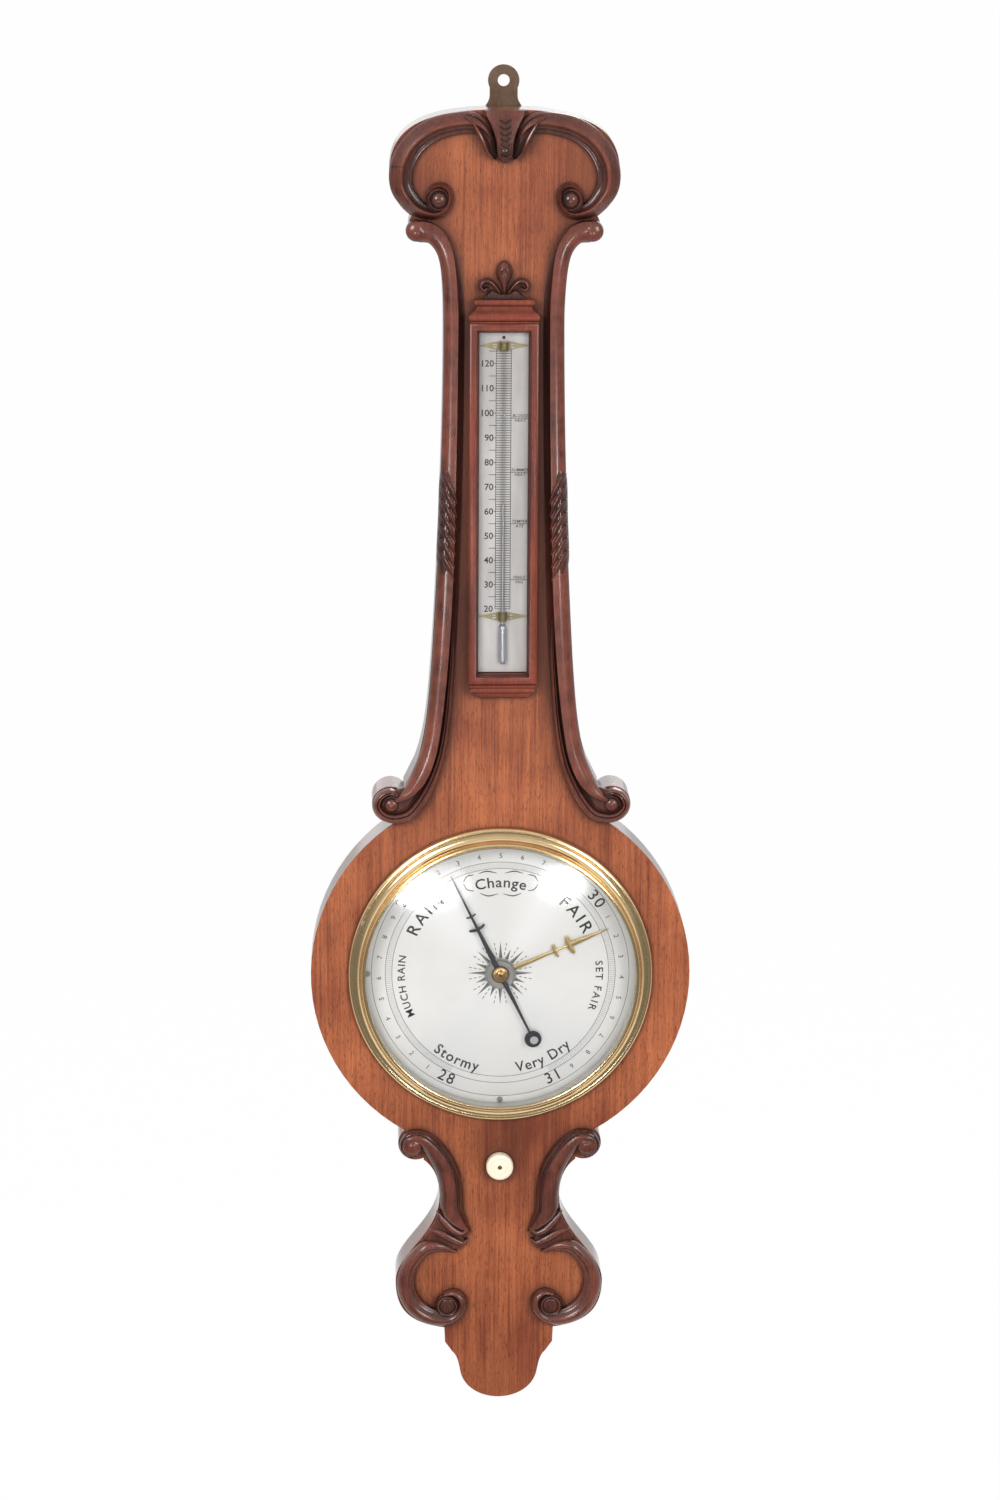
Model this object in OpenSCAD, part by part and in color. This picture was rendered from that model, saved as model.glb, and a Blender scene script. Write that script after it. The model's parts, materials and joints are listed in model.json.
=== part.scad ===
// Wheel barometer in a carved banjo case, with a thermometer, a setting knob and a siphon tube movement.
// Modules draw in face coordinates: x to the right, y up from the dial centre, z out from the wall.
// face() turns them into the part's frame: Z up, front towards -Y, origin at the hanger hole on the wall.

/* [Case] */
// Thickness of the wooden carcass behind the veneered front
carcass_t = 30; // [29:0.5:34]
// Thickness of the veneered front board
veneer_t = 2; // [1.5:0.1:3]
// Radius of the round body behind the dial
round_r = 138.4; // [134:0.2:144]

/* [Carving] */
// Height of the carved mouldings above the front
carve_h = 8.5; // [6:0.1:11]
// Width of the carved strips, as a share of their drawn width
carve_w = 1; // [0.8:0.01:1]

/* [Hanger] */
// Height of the hanger hole above the top of the crest
hanger_stand = 17.5; // [15:0.5:24]
// Diameter of the hole that the wall hook passes through
hanger_hole_d = 8.4; // [6:0.1:10]
// Width of the rounded head of the hanger plate
hanger_head_w = 22; // [18:0.1:24]
// Width of the foot of the hanger plate behind the crest
hanger_foot_w = 25.8; // [24:0.1:32]
// Thickness of the hanger plate
hanger_t = 2.2; // [1.5:0.1:3]
// Length of the foot of the hanger plate below the crest
hanger_foot_l = 22; // [18:0.5:23]

/* [Dial] */
// Radius of the dial that shows inside the bezel
dial_view_r = 99.5; // [97:0.1:103]
// Width of the dial margin that the bezel covers
dial_margin = 3.3; // [2.5:0.1:4]
// Thickness of the dial plate
dial_t = 1.2; // [1:0.1:2]
// Depth of the dial face below the wooden front
dial_depth = 3.8; // [3:0.1:4.5]
// Radius of the opening in the carcass behind the dial
aperture_r = 80; // [70:0.5:84]

/* [Bezel] */
// Width of the brass bezel, from the edge of the dial that shows to its outside
bezel_width = 11.7; // [10.5:0.1:13]
// Height of the bezel above the wooden front
bezel_h = 12.4; // [11:0.1:15]
// Thickness of the domed glass
glass_t = 2; // [1.5:0.1:3]
// Rise of the domed glass from its edge to its middle
glass_sag = 8; // [5:0.1:11]

/* [Hands] */
// Radius from the arbor to the tip of the indicating hand
hand_tip_r = 83; // [75:0.5:90]
// Radius from the arbor to the ring on the tail of the indicating hand
hand_tail_r = 55; // [45:0.5:65]
// Radius from the arbor to the tip of the set hand
set_tip_r = 85.7; // [75:0.5:92]
// Thickness of both hands
hand_t = 0.8; // [0.6:0.05:1.2]
// Clockwise angle of the indicating hand from upright
hand_angle = -26; // [-120:1:120]
// Clockwise angle of the set hand from upright
set_angle = 66.7; // [-120:0.1:120]
// Radius of the round boss of the set hand
set_boss_r = 11.4; // [8:0.1:14]
// Radius of the hub of the indicating hand
hand_hub_r = 6.4; // [5:0.1:8]

/* [Movement] */
// Diameter of the hand arbor
arbor_d = 2; // [1.6:0.1:2.6]
// Outside diameter of the pipe that carries the set hand
pipe_d = 5.2; // [4.8:0.1:6.4]
// Radius at which the float thread leaves its pulley
thread_r = 7.1; // [6.5:0.1:8]
// Diameter of the threads
thread_d = 0.5; // [0.3:0.05:0.8]
// Radius of the groove on the set hand pulley
set_groove_r = 9; // [7.5:0.1:10]
// Radius of the groove on the knob pulley
knob_groove_r = 6; // [5:0.1:8]
// Diameter of the set hand's cord
cord_d = 1.2; // [0.8:0.1:1.6]
// Width of both cord pulleys
cord_pulley_t = 3.6; // [3:0.1:4.2]
// Half the distance between the legs of the movement bridge
bridge_half = 17; // [14:0.5:18]

/* [Siphon tube] */
// Outside diameter of the narrow limb
stem_d = 8; // [7:0.1:8.6]
// Bore of the narrow limb
stem_bore = 4.6; // [3:0.1:5.2]
// Outside diameter of the wide chambers
chamber_d = 10.5; // [9.6:0.1:10.8]
// Bore of the wide chambers
chamber_bore = 7.6; // [6.8:0.1:8]
// Distance of the tube axis from the wall
tube_depth = 13.5; // [13.2:0.1:14.5]
// Radius of the bend at the bottom of the tube
bend_r = 8; // [7.5:0.1:9]
// Level of the mercury in the open limb, below the dial centre
open_level = 180; // [172:1:190]
// Height of the mercury column that the hand reads, 29.25 inches
mercury_head = 742.9; // [735:0.1:748]

/* [Thermometer] */
// Width of the thermometer box
box_w = 49.2; // [44:0.1:54]
// Height of the foot of the thermometer box above the dial centre
box_low = 219; // [210:0.5:230]
// Height of the thermometer box
box_h = 260.5; // [250:0.5:270]
// Width of the side rails of the thermometer box
rail_w = 5.9; // [5:0.1:7]
// How far the thermometer box stands off the front
box_d = 10.5; // [10:0.1:13]
// Thickness of the silvered scale plate
scale_t = 1.2; // [0.8:0.1:1.6]
// Diameter of the thermometer stem
thermo_stem_d = 4.4; // [3.6:0.1:5]
// Diameter of the thermometer bulb
bulb_d = 6.5; // [5.4:0.1:6.8]
// Length of the thermometer bulb
bulb_l = 30; // [24:0.5:34]

/* [Knob] */
// Diameter of the bone knob
knob_d = 19.9; // [16:0.1:24]
// Height of the bone knob
knob_h = 8.5; // [6:0.1:11]
// Distance of the knob below the dial centre
knob_drop = 146.3; // [142:0.1:150]
// Diameter of the knob spindle
spindle_d = 4; // [3:0.1:5]

/* [Back door] */
// Half the width and height of the square back door
door_half = 86; // [85.5:0.1:88]
// Thickness of the back door
door_t = 5; // [4:0.1:5.4]
// Radius of the hinge knuckles
knuckle_r = 2; // [1.8:0.05:2.2]
// Length of the turn button from its pivot to its tip
button_reach = 21; // [16:0.5:24]

/* [Fits] */
// Radial clearance of shafts in their bearings
run_gap = 0.05; // [0.03:0.01:0.08]
// Clearance between a piece and its seat
seat_gap = 0.1; // [0.06:0.01:0.2]
// Radial clearance of wheels and hubs fixed on their shafts
fix_gap = 0.02; // [0.01:0.01:0.04]
// Clearance between moving pieces
move_gap = 0.3; // [0.25:0.05:0.5]

/* [Hidden] */
$fn = 64;

// Colours
mahogany = "#8a4526";
veneer_wood = "#b06a3a";
carved_wood = "#5c2b1c";
pine = "#b98d5a";
brass = "#c3a04e";
bronze = "#6f6047";
silvered = "#d6d4cc";
steel = "#3b4350";
quicksilver = "#b9bcc2";
clear_glass = "#dfe9ea";
bone = "#f1e9d2";
thread_grey = "#75705f";

// A hair more than a cut needs, so that faces do not coincide
over = 0.5;

// Depths from the wall
front = carcass_t + veneer_t;
dial_face = front - dial_depth;
dial_back = dial_face - dial_t;
cover_t = 4;
door_out = 2.2;
door_in = door_out + door_t;
bridge_t = 1.2;
bridge_in = door_in + 1.3;
thread_w = tube_depth;
thread_pulley_t = 3;
cord_w = dial_back - 5;
channel_floor = cord_w + cord_pulley_t / 2 + 0.4;

// Radii about the dial centre
dial_r = dial_view_r + dial_margin;
bezel_r = dial_view_r + bezel_width;
recess_r = dial_r + seat_gap;

// The right half of the case outline, from the crest down to the round body
crest_top = 627.5;
hanger_rise = crest_top + hanger_stand;
crest_side = [80.5, 583];
crest_notch = [65, 553.5];
horn_low = [59, 535];
neck_top = [47.5, 529];
neck_slim = [42.6, 474];
neck_low = [50.6, 236];
neck_foot = [62.5, 157.5];

function bez(a, b, c, d, n) = [for (i = [0:n - 1]) let (t = i / n, s = 1 - t)
    s * s * s * a + 3 * s * s * t * b + 3 * s * t * t * c + t * t * t * d];

crest_edge = concat(
    bez([0, crest_top], [60, crest_top], [80.5, 614], crest_side, 26),
    bez(crest_side, [80.5, 570], [75, 560.5], crest_notch, 14));
neck_edge = concat(
    bez(crest_notch, [67.5, 551], [70, 536], horn_low, 12),
    bez(horn_low, [52, 535], [50, 534], neck_top, 7),
    bez(neck_top, [44.8, 523], [42.6, 510], neck_slim, 10),
    bez(neck_slim, [42.6, 395], [46.6, 300], neck_low, 14),
    bez(neck_low, [53, 203], [54.8, 178], neck_foot, 12));

// The ears above the round body and the shoulders below it
ear_at = [80.2, 128.6];
ear_r = 13.3;
shoulder_at = [62, -129.5];
shoulder_r = 12.8;

// The right half of the case outline below the round body
waist = [44.2, -171];
hip = [76.8, -237];
base_notch = [40.5, -274.5];
pendant_corner = [40, -286];
pendant_ledge = [34.6, -293.6];
pendant_side = [28.6, -309];
pendant_low = [0, -330];
base_edge = concat(
    [[56, -142.5]],
    bez([56, -142.5], [47, -149], [44.2, -160], waist, 10),
    bez(waist, [44.2, -200], [76, -216], hip, 18),
    bez(hip, [76.8, -258], [68.5, -271], base_notch, 16),
    [base_notch, pendant_corner],
    bez(pendant_ledge, [30.6, -297], [29.8, -303], pendant_side, 8),
    bez(pendant_side, [26.4, -322], [14, -330], pendant_low, 16));

// Siphon tube places
short_u = -thread_r;
long_u = short_u - 2 * bend_r;
bend_v = -240;
open_top = -95;
open_surface = -open_level;
closed_surface = open_surface + mercury_head;
closed_end = closed_surface + 36;
flare_l = 8;
short_flare = bend_v + 4;
long_flare = closed_surface - 58;
open_column_low = short_flare + flare_l + 2;
closed_column_low = long_flare + flare_l + 2;
stem_floor = tube_depth + stem_d / 2 + seat_gap;
chamber_floor = tube_depth + chamber_d / 2 + seat_gap;
trench_half = chamber_d / 2 + 0.3;
ledge = 4.5;
door_rebate = door_half + 0.5;
neck_cover_low = door_rebate + 6;
neck_cover_top = closed_end + 4;
base_cover_top = -door_rebate - 6;
base_cover_low = bend_v - bend_r - stem_d / 2 - 5;
base_cover_right = 17;
cord_channel_half = max(set_groove_r, knob_groove_r) + 3;

// Float and counterweight
float_d = chamber_bore - 1;
float_l = 12;
float_low = open_surface + 0.2;
weight_d = 4.2;
weight_l = 8.7;
weight_low = -75;

// Saddles that hold the tube: [x, y, tube radius, trench floor]
saddles = [
    [long_u, 430, stem_d / 2, stem_floor],
    [long_u, 170, stem_d / 2, stem_floor],
    [short_u, -205, chamber_d / 2, chamber_floor]];
saddle_t = 1;
saddle_foot = 5.5;
saddle_h = 9;

// Countersunk wood screws: head radius, shank radius, head depth and length
screw_head_r = 2.4;
screw_shank_r = 1.2;
screw_head_d = 1.2;
screw_l = 9;

// Back door hinges
hinge_u = door_half + knuckle_r + 0.7;
hinge_w = door_out + 0.2;
hinge_at = [-55, 55];
knuckle_l = 8;
knuckle_gap = 0.2;
leaf_t = 1;
leaf_w = 14;
leaf_half = 1.5 * knuckle_l + knuckle_gap;
hinge_pin_r = 1;
leaf_screw_x = 9;

// Turn button
button_u = -door_half - 11;
button_w = 9;
button_t = 1.5;
button_out = 0.4;

// Wood screws driven from the back: [x, y, depth of the head's face]
back_screws = concat(
    [for (v = [neck_cover_low + 10, 330, neck_cover_top - 10]) [long_u + trench_half + ledge / 2, v, 0]],
    [for (v = [neck_cover_low + 110, 500]) [long_u - trench_half - ledge / 2, v, 0]],
    [for (v = [base_cover_top - 8, base_cover_low + 22]) [base_cover_right - ledge / 2, v, 0]],
    [[long_u - trench_half - ledge / 2, -150, 0]],
    [for (v = [7, 16]) [0, crest_top - v, 0]],
    [for (v = hinge_at, s = [-1, 1]) [hinge_u + leaf_screw_x, v + s * 7, hinge_w - leaf_t / 2]]);
leaf_screws = [for (v = hinge_at, s = [-1, 1]) [hinge_u - leaf_screw_x, v + s * 7, hinge_w - leaf_t / 2]];
saddle_screws = [for (s = saddles, side = [-1, 1])
    [s[0] + side * (s[2] + seat_gap + saddle_t + saddle_foot / 2), s[1], s[3] - saddle_t]];

// Bezel, glass and sight ring
bezel_in_r = dial_view_r - 0.9;
bezel_rim_r = 2.6;
bezel_rim_w = front + 1.6;
bezel_lip_r = 1.05;
bezel_wall = 0.7;
spigot_d = 2;
glass_r = dial_view_r + 1.6;
dome_r = (glass_r * glass_r + glass_sag * glass_sag) / (2 * glass_sag);
glass_seat_w = front + bezel_h - 2 * bezel_lip_r;
glass_lip_rise = (glass_r * glass_r - bezel_in_r * bezel_in_r) / (2 * dome_r);
glass_edge_w = glass_seat_w - move_gap - glass_t - glass_lip_rise;
bezel_pin_r = 1.2;
bezel_pin_at = bezel_r - bezel_rim_r;
bezel_pin_top = bezel_rim_w + bezel_rim_r + 0.3;
bezel_pin_angles = [158, -32];

// Hands and boss, from the dial outwards
set_hand_w = dial_face + 1.6;
hand_w = set_hand_w + hand_t + 1.4;
collet_h = 2.6;
set_pulley_r = set_groove_r + cord_d + 0.4;
knob_pulley_r = knob_groove_r + cord_d + 0.4;
cord_gap = 0.1;

// Dial screws on the margin: clockwise angles
dial_screw_r = dial_view_r - 2.5;
dial_screw_angles = [180, 270];
dial_screw_l = 2.6;

// Thermometer places
box_half = box_w / 2;
scale_half = box_half - rail_w - seat_gap;
box_top = box_low + box_h;
rail_low = 8;
rail_top = 7.5;
scale_low = box_low + rail_low + seat_gap;
scale_top = box_top - rail_top - seat_gap;
scale_face = front + scale_t;
thermo_w = scale_face + thermo_stem_d / 2 + seat_gap;
bulb_low = scale_low + 5.5;
bulb_ends = [bulb_low + bulb_d / 2, bulb_low + bulb_l - bulb_d / 2];
bulb_sink = thermo_w - scale_face;
bulb_slot_half = sqrt(bulb_d * bulb_d / 4 - bulb_sink * bulb_sink) + 0.3;
stem_low = bulb_low + bulb_l - 2;
stem_top = scale_top - 6.2;
pane_t = 1.4;
pane_w = front + box_d - pane_t - 1.2;
pane_groove = 1.9;
thermo_reading = stem_low + 88.5;
clip_at = [stem_low + 7.3, stem_top - 3.2];
clip_half = 17;
clip_h = 6;
clip_t = 0.8;
clip_screw_x = 6.2;
clip_screw_head_r = 1.6;
clip_screw_head_h = 0.9;
clip_screw_shank_r = 0.7;
scale_eye_r = 1.2;
scale_eye_drop = 3.6;
cornice_h = 16;
cornice_top = box_top + cornice_h;
sill_h = 10;

// Knob
knob_low = front + move_gap;
knob_bush_r = spindle_d / 2 + 2.2;
spindle_in = cord_w - cord_pulley_t / 2 - 0.4;
spindle_out = knob_low + knob_h - 2.6;

module face() { translate([0, 0, -hanger_rise]) rotate([90, 0, 0]) children(); }

module mirrored(left) { mirror([left ? 1 : 0, 0, 0]) children(); }

// A rod along the viewing direction
module out_rod(u, v, w0, w1, r) { translate([u, v, w0]) cylinder(h = w1 - w0, r = r); }

// An upright rod
module up_rod(u, v0, v1, w, r) { translate([u, v0, w]) rotate([-90, 0, 0]) cylinder(h = v1 - v0, r = r); }

// An upright cone
module up_cone(u, v0, v1, w, r0, r1) {
    translate([u, v0, w]) rotate([-90, 0, 0]) cylinder(h = v1 - v0, r1 = r0, r2 = r1);
}

module block(u0, u1, v0, v1, w0, w1) { translate([u0, v0, w0]) cube([u1 - u0, v1 - v0, w1 - w0]); }

// A slot with square ends that stays clear of what it holds
module slot(u0, u1, v0, v1, w0, w1, gap) { block(u0 - gap, u1 + gap, v0 - gap, v1 + gap, w0, w1); }

// Points of the right half, closed by their mirror image
function both_sides(points) =
    concat(points, [for (i = [len(points) - 1:-1:0]) [-points[i][0], points[i][1]]]);

// The case's plan, raised to a slab
module case_slab(t) {
    upper = concat(crest_edge, neck_edge, [neck_foot, [70.5, 141], [74, 90]]);
    lower = concat([[60, -100]], base_edge, [pendant_low]);
    union() {
        linear_extrude(t) polygon(both_sides(upper));
        linear_extrude(t) polygon(both_sides(lower));
        cylinder(h = t, r = round_r);
        for (s = [-1, 1]) {
            out_rod(s * ear_at[0], ear_at[1], 0, t, ear_r);
            out_rod(s * shoulder_at[0], shoulder_at[1], 0, t, shoulder_r);
        }
    }
}

// A countersunk screw that points towards the viewer from the back, grown by gap for its hole
module wood_screw(at, gap) {
    translate(at) {
        cylinder(h = screw_head_d, r1 = screw_head_r + gap, r2 = screw_shank_r + gap);
        cylinder(h = screw_l + gap, r = screw_shank_r + gap);
    }
}

// The hole for such a screw, open towards the back
module screw_hole(at) {
    wood_screw(at, seat_gap);
    out_rod(at[0], at[1], at[2] - over, at[2] + seat_gap / 2, screw_head_r + seat_gap);
}

module screw_holes(list) { for (s = list) screw_hole(s); }

module hanger_shape(gap) {
    hole_v = hanger_rise;
    foot_v = crest_top - hanger_foot_l;
    head_r = hanger_head_w / 2 + gap;
    neck_half = head_r - 1.2;
    foot_half = hanger_foot_w / 2 + gap;
    turn = acos(neck_half / head_r);
    head = [for (i = [0:16]) let (a = 90 - i * (90 + turn) / 16) [head_r * cos(a), hole_v + head_r * sin(a)]];
    flare = bez([neck_half, crest_top + 7], [neck_half, crest_top + 3.4],
        [foot_half - 1.2, crest_top + 1.4], [foot_half, crest_top - 0.6], 6);
    polygon(both_sides(concat(head, flare, [[foot_half, crest_top - 0.6], [foot_half, foot_v - gap]])));
}

// The space that the tube needs, from the back down to the trench floors
module tube_trench() {
    stem_trench = stem_d / 2 + 0.3;
    block(long_u - trench_half, long_u + trench_half, bend_v, closed_end + 1, -over, stem_floor);
    block(long_u - trench_half, long_u + trench_half, long_flare - 1, closed_end + 1, -over, chamber_floor);
    block(short_u - trench_half, short_u + trench_half, bend_v, -aperture_r + 15, -over, chamber_floor);
    translate([(long_u + short_u) / 2, bend_v, -over])
        cylinder(h = stem_floor + over, r = bend_r + stem_trench);
    for (s = saddles) {
        reach = s[2] + seat_gap + saddle_t + saddle_foot + 0.3;
        block(s[0] - reach, s[0] + reach, s[1] - saddle_h / 2 - 0.3, s[1] + saddle_h / 2 + 0.3, -over, s[3]);
    }
}

module cover_rebates(gap) {
    slot(long_u - trench_half - ledge, long_u + trench_half + ledge, neck_cover_low, neck_cover_top,
        -over, cover_t, gap);
    slot(long_u - trench_half - ledge, base_cover_right, base_cover_low, base_cover_top, -over, cover_t, gap);
}

module door_rebates() {
    block(-door_rebate, hinge_u + knuckle_r + 0.4, -door_rebate, door_rebate, -over, door_in + seat_gap);
    for (v = hinge_at)
        block(hinge_u, hinge_u + leaf_w + 0.3, v - leaf_half - 0.3, v + leaf_half + 0.3,
            -over, hinge_w + leaf_t / 2);
    out_rod(button_u, 0, -over, door_out, button_reach + 1.5);
}

module case_body() {
    color(mahogany) face() difference() {
        case_slab(carcass_t);
        out_rod(0, 0, dial_back, carcass_t + over, recess_r);
        out_rod(0, 0, -over, carcass_t + over, aperture_r);
        door_rebates();
        tube_trench();
        cover_rebates(seat_gap);
        block(-cord_channel_half, cord_channel_half, -knob_drop - knob_pulley_r - 2, -aperture_r + 15,
            -over, channel_floor);
        out_rod(0, -knob_drop, 0, carcass_t + over, knob_bush_r + seat_gap);
        translate([0, 0, -over]) linear_extrude(hanger_t + seat_gap + over) hanger_shape(seat_gap);
        screw_holes(concat(back_screws, saddle_screws));
        screw_hole([button_u, 0, button_out]);
        for (a = dial_screw_angles) dial_screw(a, seat_gap);
        for (a = bezel_pin_angles) bezel_pin(a, seat_gap);
    }
}

module front_veneer() {
    color(veneer_wood) face() difference() {
        translate([0, 0, carcass_t]) case_slab(veneer_t);
        out_rod(0, 0, carcass_t - over, front + over, recess_r);
        out_rod(0, -knob_drop, carcass_t - over, front + over, knob_bush_r + seat_gap);
        for (a = bezel_pin_angles) bezel_pin(a, seat_gap);
        for (v = clip_at, s = [-1, 1]) clip_screw(s * clip_screw_x, v, seat_gap);
    }
}

function unit(v) = v / norm(v);

function heading(path, i) =
    let (d = path[min(i + 1, len(path) - 1)] - path[max(i - 1, 0)]) unit([d[0], d[1]]);

// A smooth line through points, in n steps from each to the next
function through(p, n) =
    let (last = len(p) - 1)
    concat([for (i = [0:last - 1], j = [0:n - 1])
        let (t = j / n, a = p[max(i - 1, 0)], b = p[i], c = p[i + 1], d = p[min(i + 2, last)])
        0.5 * (2 * b + (c - a) * t + (2 * a - 5 * b + 4 * c - d) * t * t
            + (3 * b - a - 3 * c + d) * t * t * t)],
        [p[last]]);

// A carved strip that stands on the front, through points of [x, y, width, height]. Its profile runs from
// the left edge (0) of the way to the right edge (1), in shares of width and height, to the base's middle.
module strand(points4, n_step, profile) {
    way = through(points4, n_step);
    n = len(way);
    m = len(profile);
    points = [for (i = [0:n - 1])
        let (s = way[i], t = heading(way, i))
        for (p = profile)
            let (out = (p[0] - 0.5) * s[2] * carve_w)
            [s[0] + t[1] * out, s[1] - t[0] * out, front + p[1] * s[3] * carve_h]];
    sides = [for (i = [0:n - 2], j = [0:m - 1])
        let (a = i * m + j, b = i * m + (j + 1) % m) each [[a, a + m, b + m], [a, b + m, b]]];
    near = [for (j = [0:m - 3]) [m - 1, j, j + 1]];
    far = [for (j = [0:m - 3]) (n - 1) * m * [1, 1, 1] + [m - 1, j + 1, j]];
    polyhedron(points, concat(sides, near, far));
}

round_profile = [[0, 0], [0, 0.35], [0.12, 0.7], [0.3, 0.93], [0.5, 1], [0.7, 0.93], [0.88, 0.7],
    [1, 0.35], [1, 0], [0.5, 0]];
crest_profile = [[0, 0], [0, 0.5], [0.08, 0.74], [0.36, 1], [0.46, 0.95], [0.56, 0.7], [0.76, 0.56],
    [0.92, 0.62], [1, 0.3], [1, 0], [0.5, 0]];
band_profile = [[0, 0], [0, 0.5], [0.08, 0.72], [0.4, 0.9], [0.8, 1], [0.92, 0.92], [1, 0.55], [1, 0],
    [0.5, 0]];

// The round eye of a volute
module eye(at, r, h) {
    translate([at[0], at[1], front]) rotate_extrude()
        intersection() {
            translate([0, h - r * 1.6]) circle(r = r * 1.6);
            square([r, h]);
        }
}

module crest_scroll(left) {
    curl = [[14.5, 619.3, 14.5, 0.8], [30, 618.4, 15, 0.9], [48, 614.4, 16, 0.96], [62.5, 604.6, 16.5, 1],
        [71.2, 590, 16.8, 1], [72, 575, 16.2, 1], [66, 564.2, 14, 1], [58.5, 558, 11, 0.98],
        [49.4, 555.4, 8.4, 0.94], [42.6, 558.2, 7, 0.9], [39, 564, 5.8, 0.88], [39.4, 570.6, 5.2, 0.84],
        [43.6, 574.4, 4.9, 0.78], [49, 573.8, 4.4, 0.7], [52.6, 569.6, 3.4, 0.6]];
    color(carved_wood) face() mirrored(left) {
        strand(curl, 3, crest_profile);
        eye([46.2, 564.9], 4.6, carve_h * 0.95);
    }
}

module crest_cartouche() {
    leaf = [[0, 626, 23, 0.7], [0, 620, 20.5, 0.85], [0, 613, 16.5, 0.95], [0, 606, 13.6, 1],
        [0, 598.5, 17.5, 0.95], [0, 594.5, 12, 0.8], [0, 592.5, 5, 0.55]];
    color(carved_wood) face() strand(leaf, 3, round_profile);
}

module neck_moulding(left) {
    band = [[66, 543, 9, 0.8], [62.5, 543, 14.2, 1], [56, 543.2, 14.8, 1.04], [48.8, 540, 13.4, 1.02],
        [42.8, 531, 11.2, 0.98], [40, 518, 9.6, 0.94], [38.4, 495, 8.8, 0.92], [38.2, 470, 8.6, 0.92],
        [39.1, 408, 8.8, 0.92], [40.7, 347, 9.2, 0.94], [42.2, 287, 10, 0.96], [44.8, 236, 10.8, 0.98],
        [48, 197, 10.8, 1], [51.5, 174, 11, 1.04], [55.2, 161, 11.8, 1.08], [60.2, 149.6, 11.4, 1.1],
        [65.8, 141.2, 8.4, 1.08], [71.6, 136, 5.2, 1.04], [76.4, 133, 2, 0.9]];
    bead = [[37.6, 529, 1.8, 0.5], [34.6, 514, 3, 0.6], [32.3, 495, 4.2, 0.68], [31.9, 470, 4.8, 0.7],
        [32.3, 408, 4.9, 0.7], [33.3, 347, 5, 0.72], [34.6, 287, 5, 0.74], [36.6, 236, 5.2, 0.76],
        [39.7, 197, 6.1, 0.8], [42.9, 174, 7.2, 0.86], [46.8, 158.6, 8.6, 0.92], [52, 145.4, 10, 0.98],
        [58.6, 132.9, 11, 1], [66, 123.6, 11, 1], [73, 120.6, 10.4, 1], [80.2, 120.4, 9.6, 1],
        [86.2, 123.4, 8.8, 1], [89.2, 129, 8, 0.98], [86.4, 135.4, 7.2, 0.94], [80.6, 138.2, 6.2, 0.88],
        [75.4, 136.6, 4.4, 0.7]];
    pad = [[50, 168], [46, 158], [52, 140], [60, 128], [70, 121], [82, 119], [90, 126], [88, 136], [80, 139],
        [68.6, 143], [62, 150], [56, 162]];
    color(carved_wood) face() mirrored(left) {
        strand(band, 2, band_profile);
        strand(bead, 2, round_profile);
        eye([80, 129], 3.9, carve_h * 0.9);
        translate([0, 0, front]) linear_extrude(carve_h * 0.5) polygon(pad);
    }
}

module lower_scroll(left) {
    upper = [[22.6, -198, 3, 0.5], [28.6, -191.6, 11, 0.75], [34.8, -182, 16.4, 0.92], [35.6, -168, 16.4, 0.96],
        [38.6, -151, 16.4, 1], [46.8, -135.6, 15, 1], [57, -125, 11.8, 1], [66.4, -124.8, 10, 1],
        [69.8, -131.2, 8, 0.95], [64.6, -136.8, 6.2, 0.88], [59.6, -134, 3.6, 0.65]];
    pad = [[24.5, -207], [30, -212], [52, -209], [55.4, -201.4], [51, -195], [47.4, -188.6], [44.8, -181],
        [34, -188]];
    leaf = [[48, -196.4, 5, 0.5], [42, -198, 12, 0.66], [33, -203.4, 9, 0.64], [24.6, -208.6, 3, 0.46]];
    lower = [[33, -213.4, 3, 0.5], [44, -209.4, 8, 0.8], [53, -209.8, 10, 0.95], [59.6, -215, 10, 1],
        [66.2, -224, 11, 1.02], [69.4, -236, 12.6, 1.02], [68, -246.6, 13.2, 1.02], [62.6, -256.4, 13.4, 1.02],
        [54, -263, 13.2, 1.02], [44.4, -265.8, 12, 1], [35.4, -265, 10, 1], [28.9, -259, 8.8, 0.98],
        [28.2, -251.6, 8, 0.95], [33.6, -246.6, 6.6, 0.85], [39.8, -247.6, 4.2, 0.7]];
    color(carved_wood) face() mirrored(left) {
        strand(upper, 3, crest_profile);
        translate([0, 0, front]) linear_extrude(carve_h * 0.4) polygon(pad);
        strand(leaf, 2, round_profile);
        strand(lower, 3, crest_profile);
        eye([63, -130.6], 3, carve_h * 0.9);
        eye([39.2, -256.6], 4.8, carve_h * 0.95);
    }
}

module thermometer_frame() {
    color(mahogany) face() difference() {
        block(-box_half, box_half, box_low, box_top, front, front + box_d);
        block(-box_half + rail_w, box_half - rail_w, box_low + rail_low, box_top - rail_top,
            front - over, front + box_d + over);
        block(-box_half + rail_w - pane_groove, box_half - rail_w + pane_groove,
            box_low + rail_low - pane_groove, box_top + over, pane_w - seat_gap, pane_w + pane_t + seat_gap);
    }
}

module cornice_profile(reach) {
    polygon(both_sides([for (p = [[-2.6, cornice_h], [-2.6, 12.6], [-3.4, 11.4], [-2.2, 8.6], [-0.4, 5],
        [0.5, 3.4], [0.5, 1.2], [-0.4, 0]]) [reach + p[0], box_top + p[1]]]));
}

module thermometer_cornice() {
    color(mahogany) face() intersection() {
        translate([0, 0, front]) linear_extrude(box_d + 3) cornice_profile(box_half);
        translate([-box_w, 0, front]) rotate([0, 90, 0]) linear_extrude(2 * box_w) cornice_profile(box_d + 1);
    }
}

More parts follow.
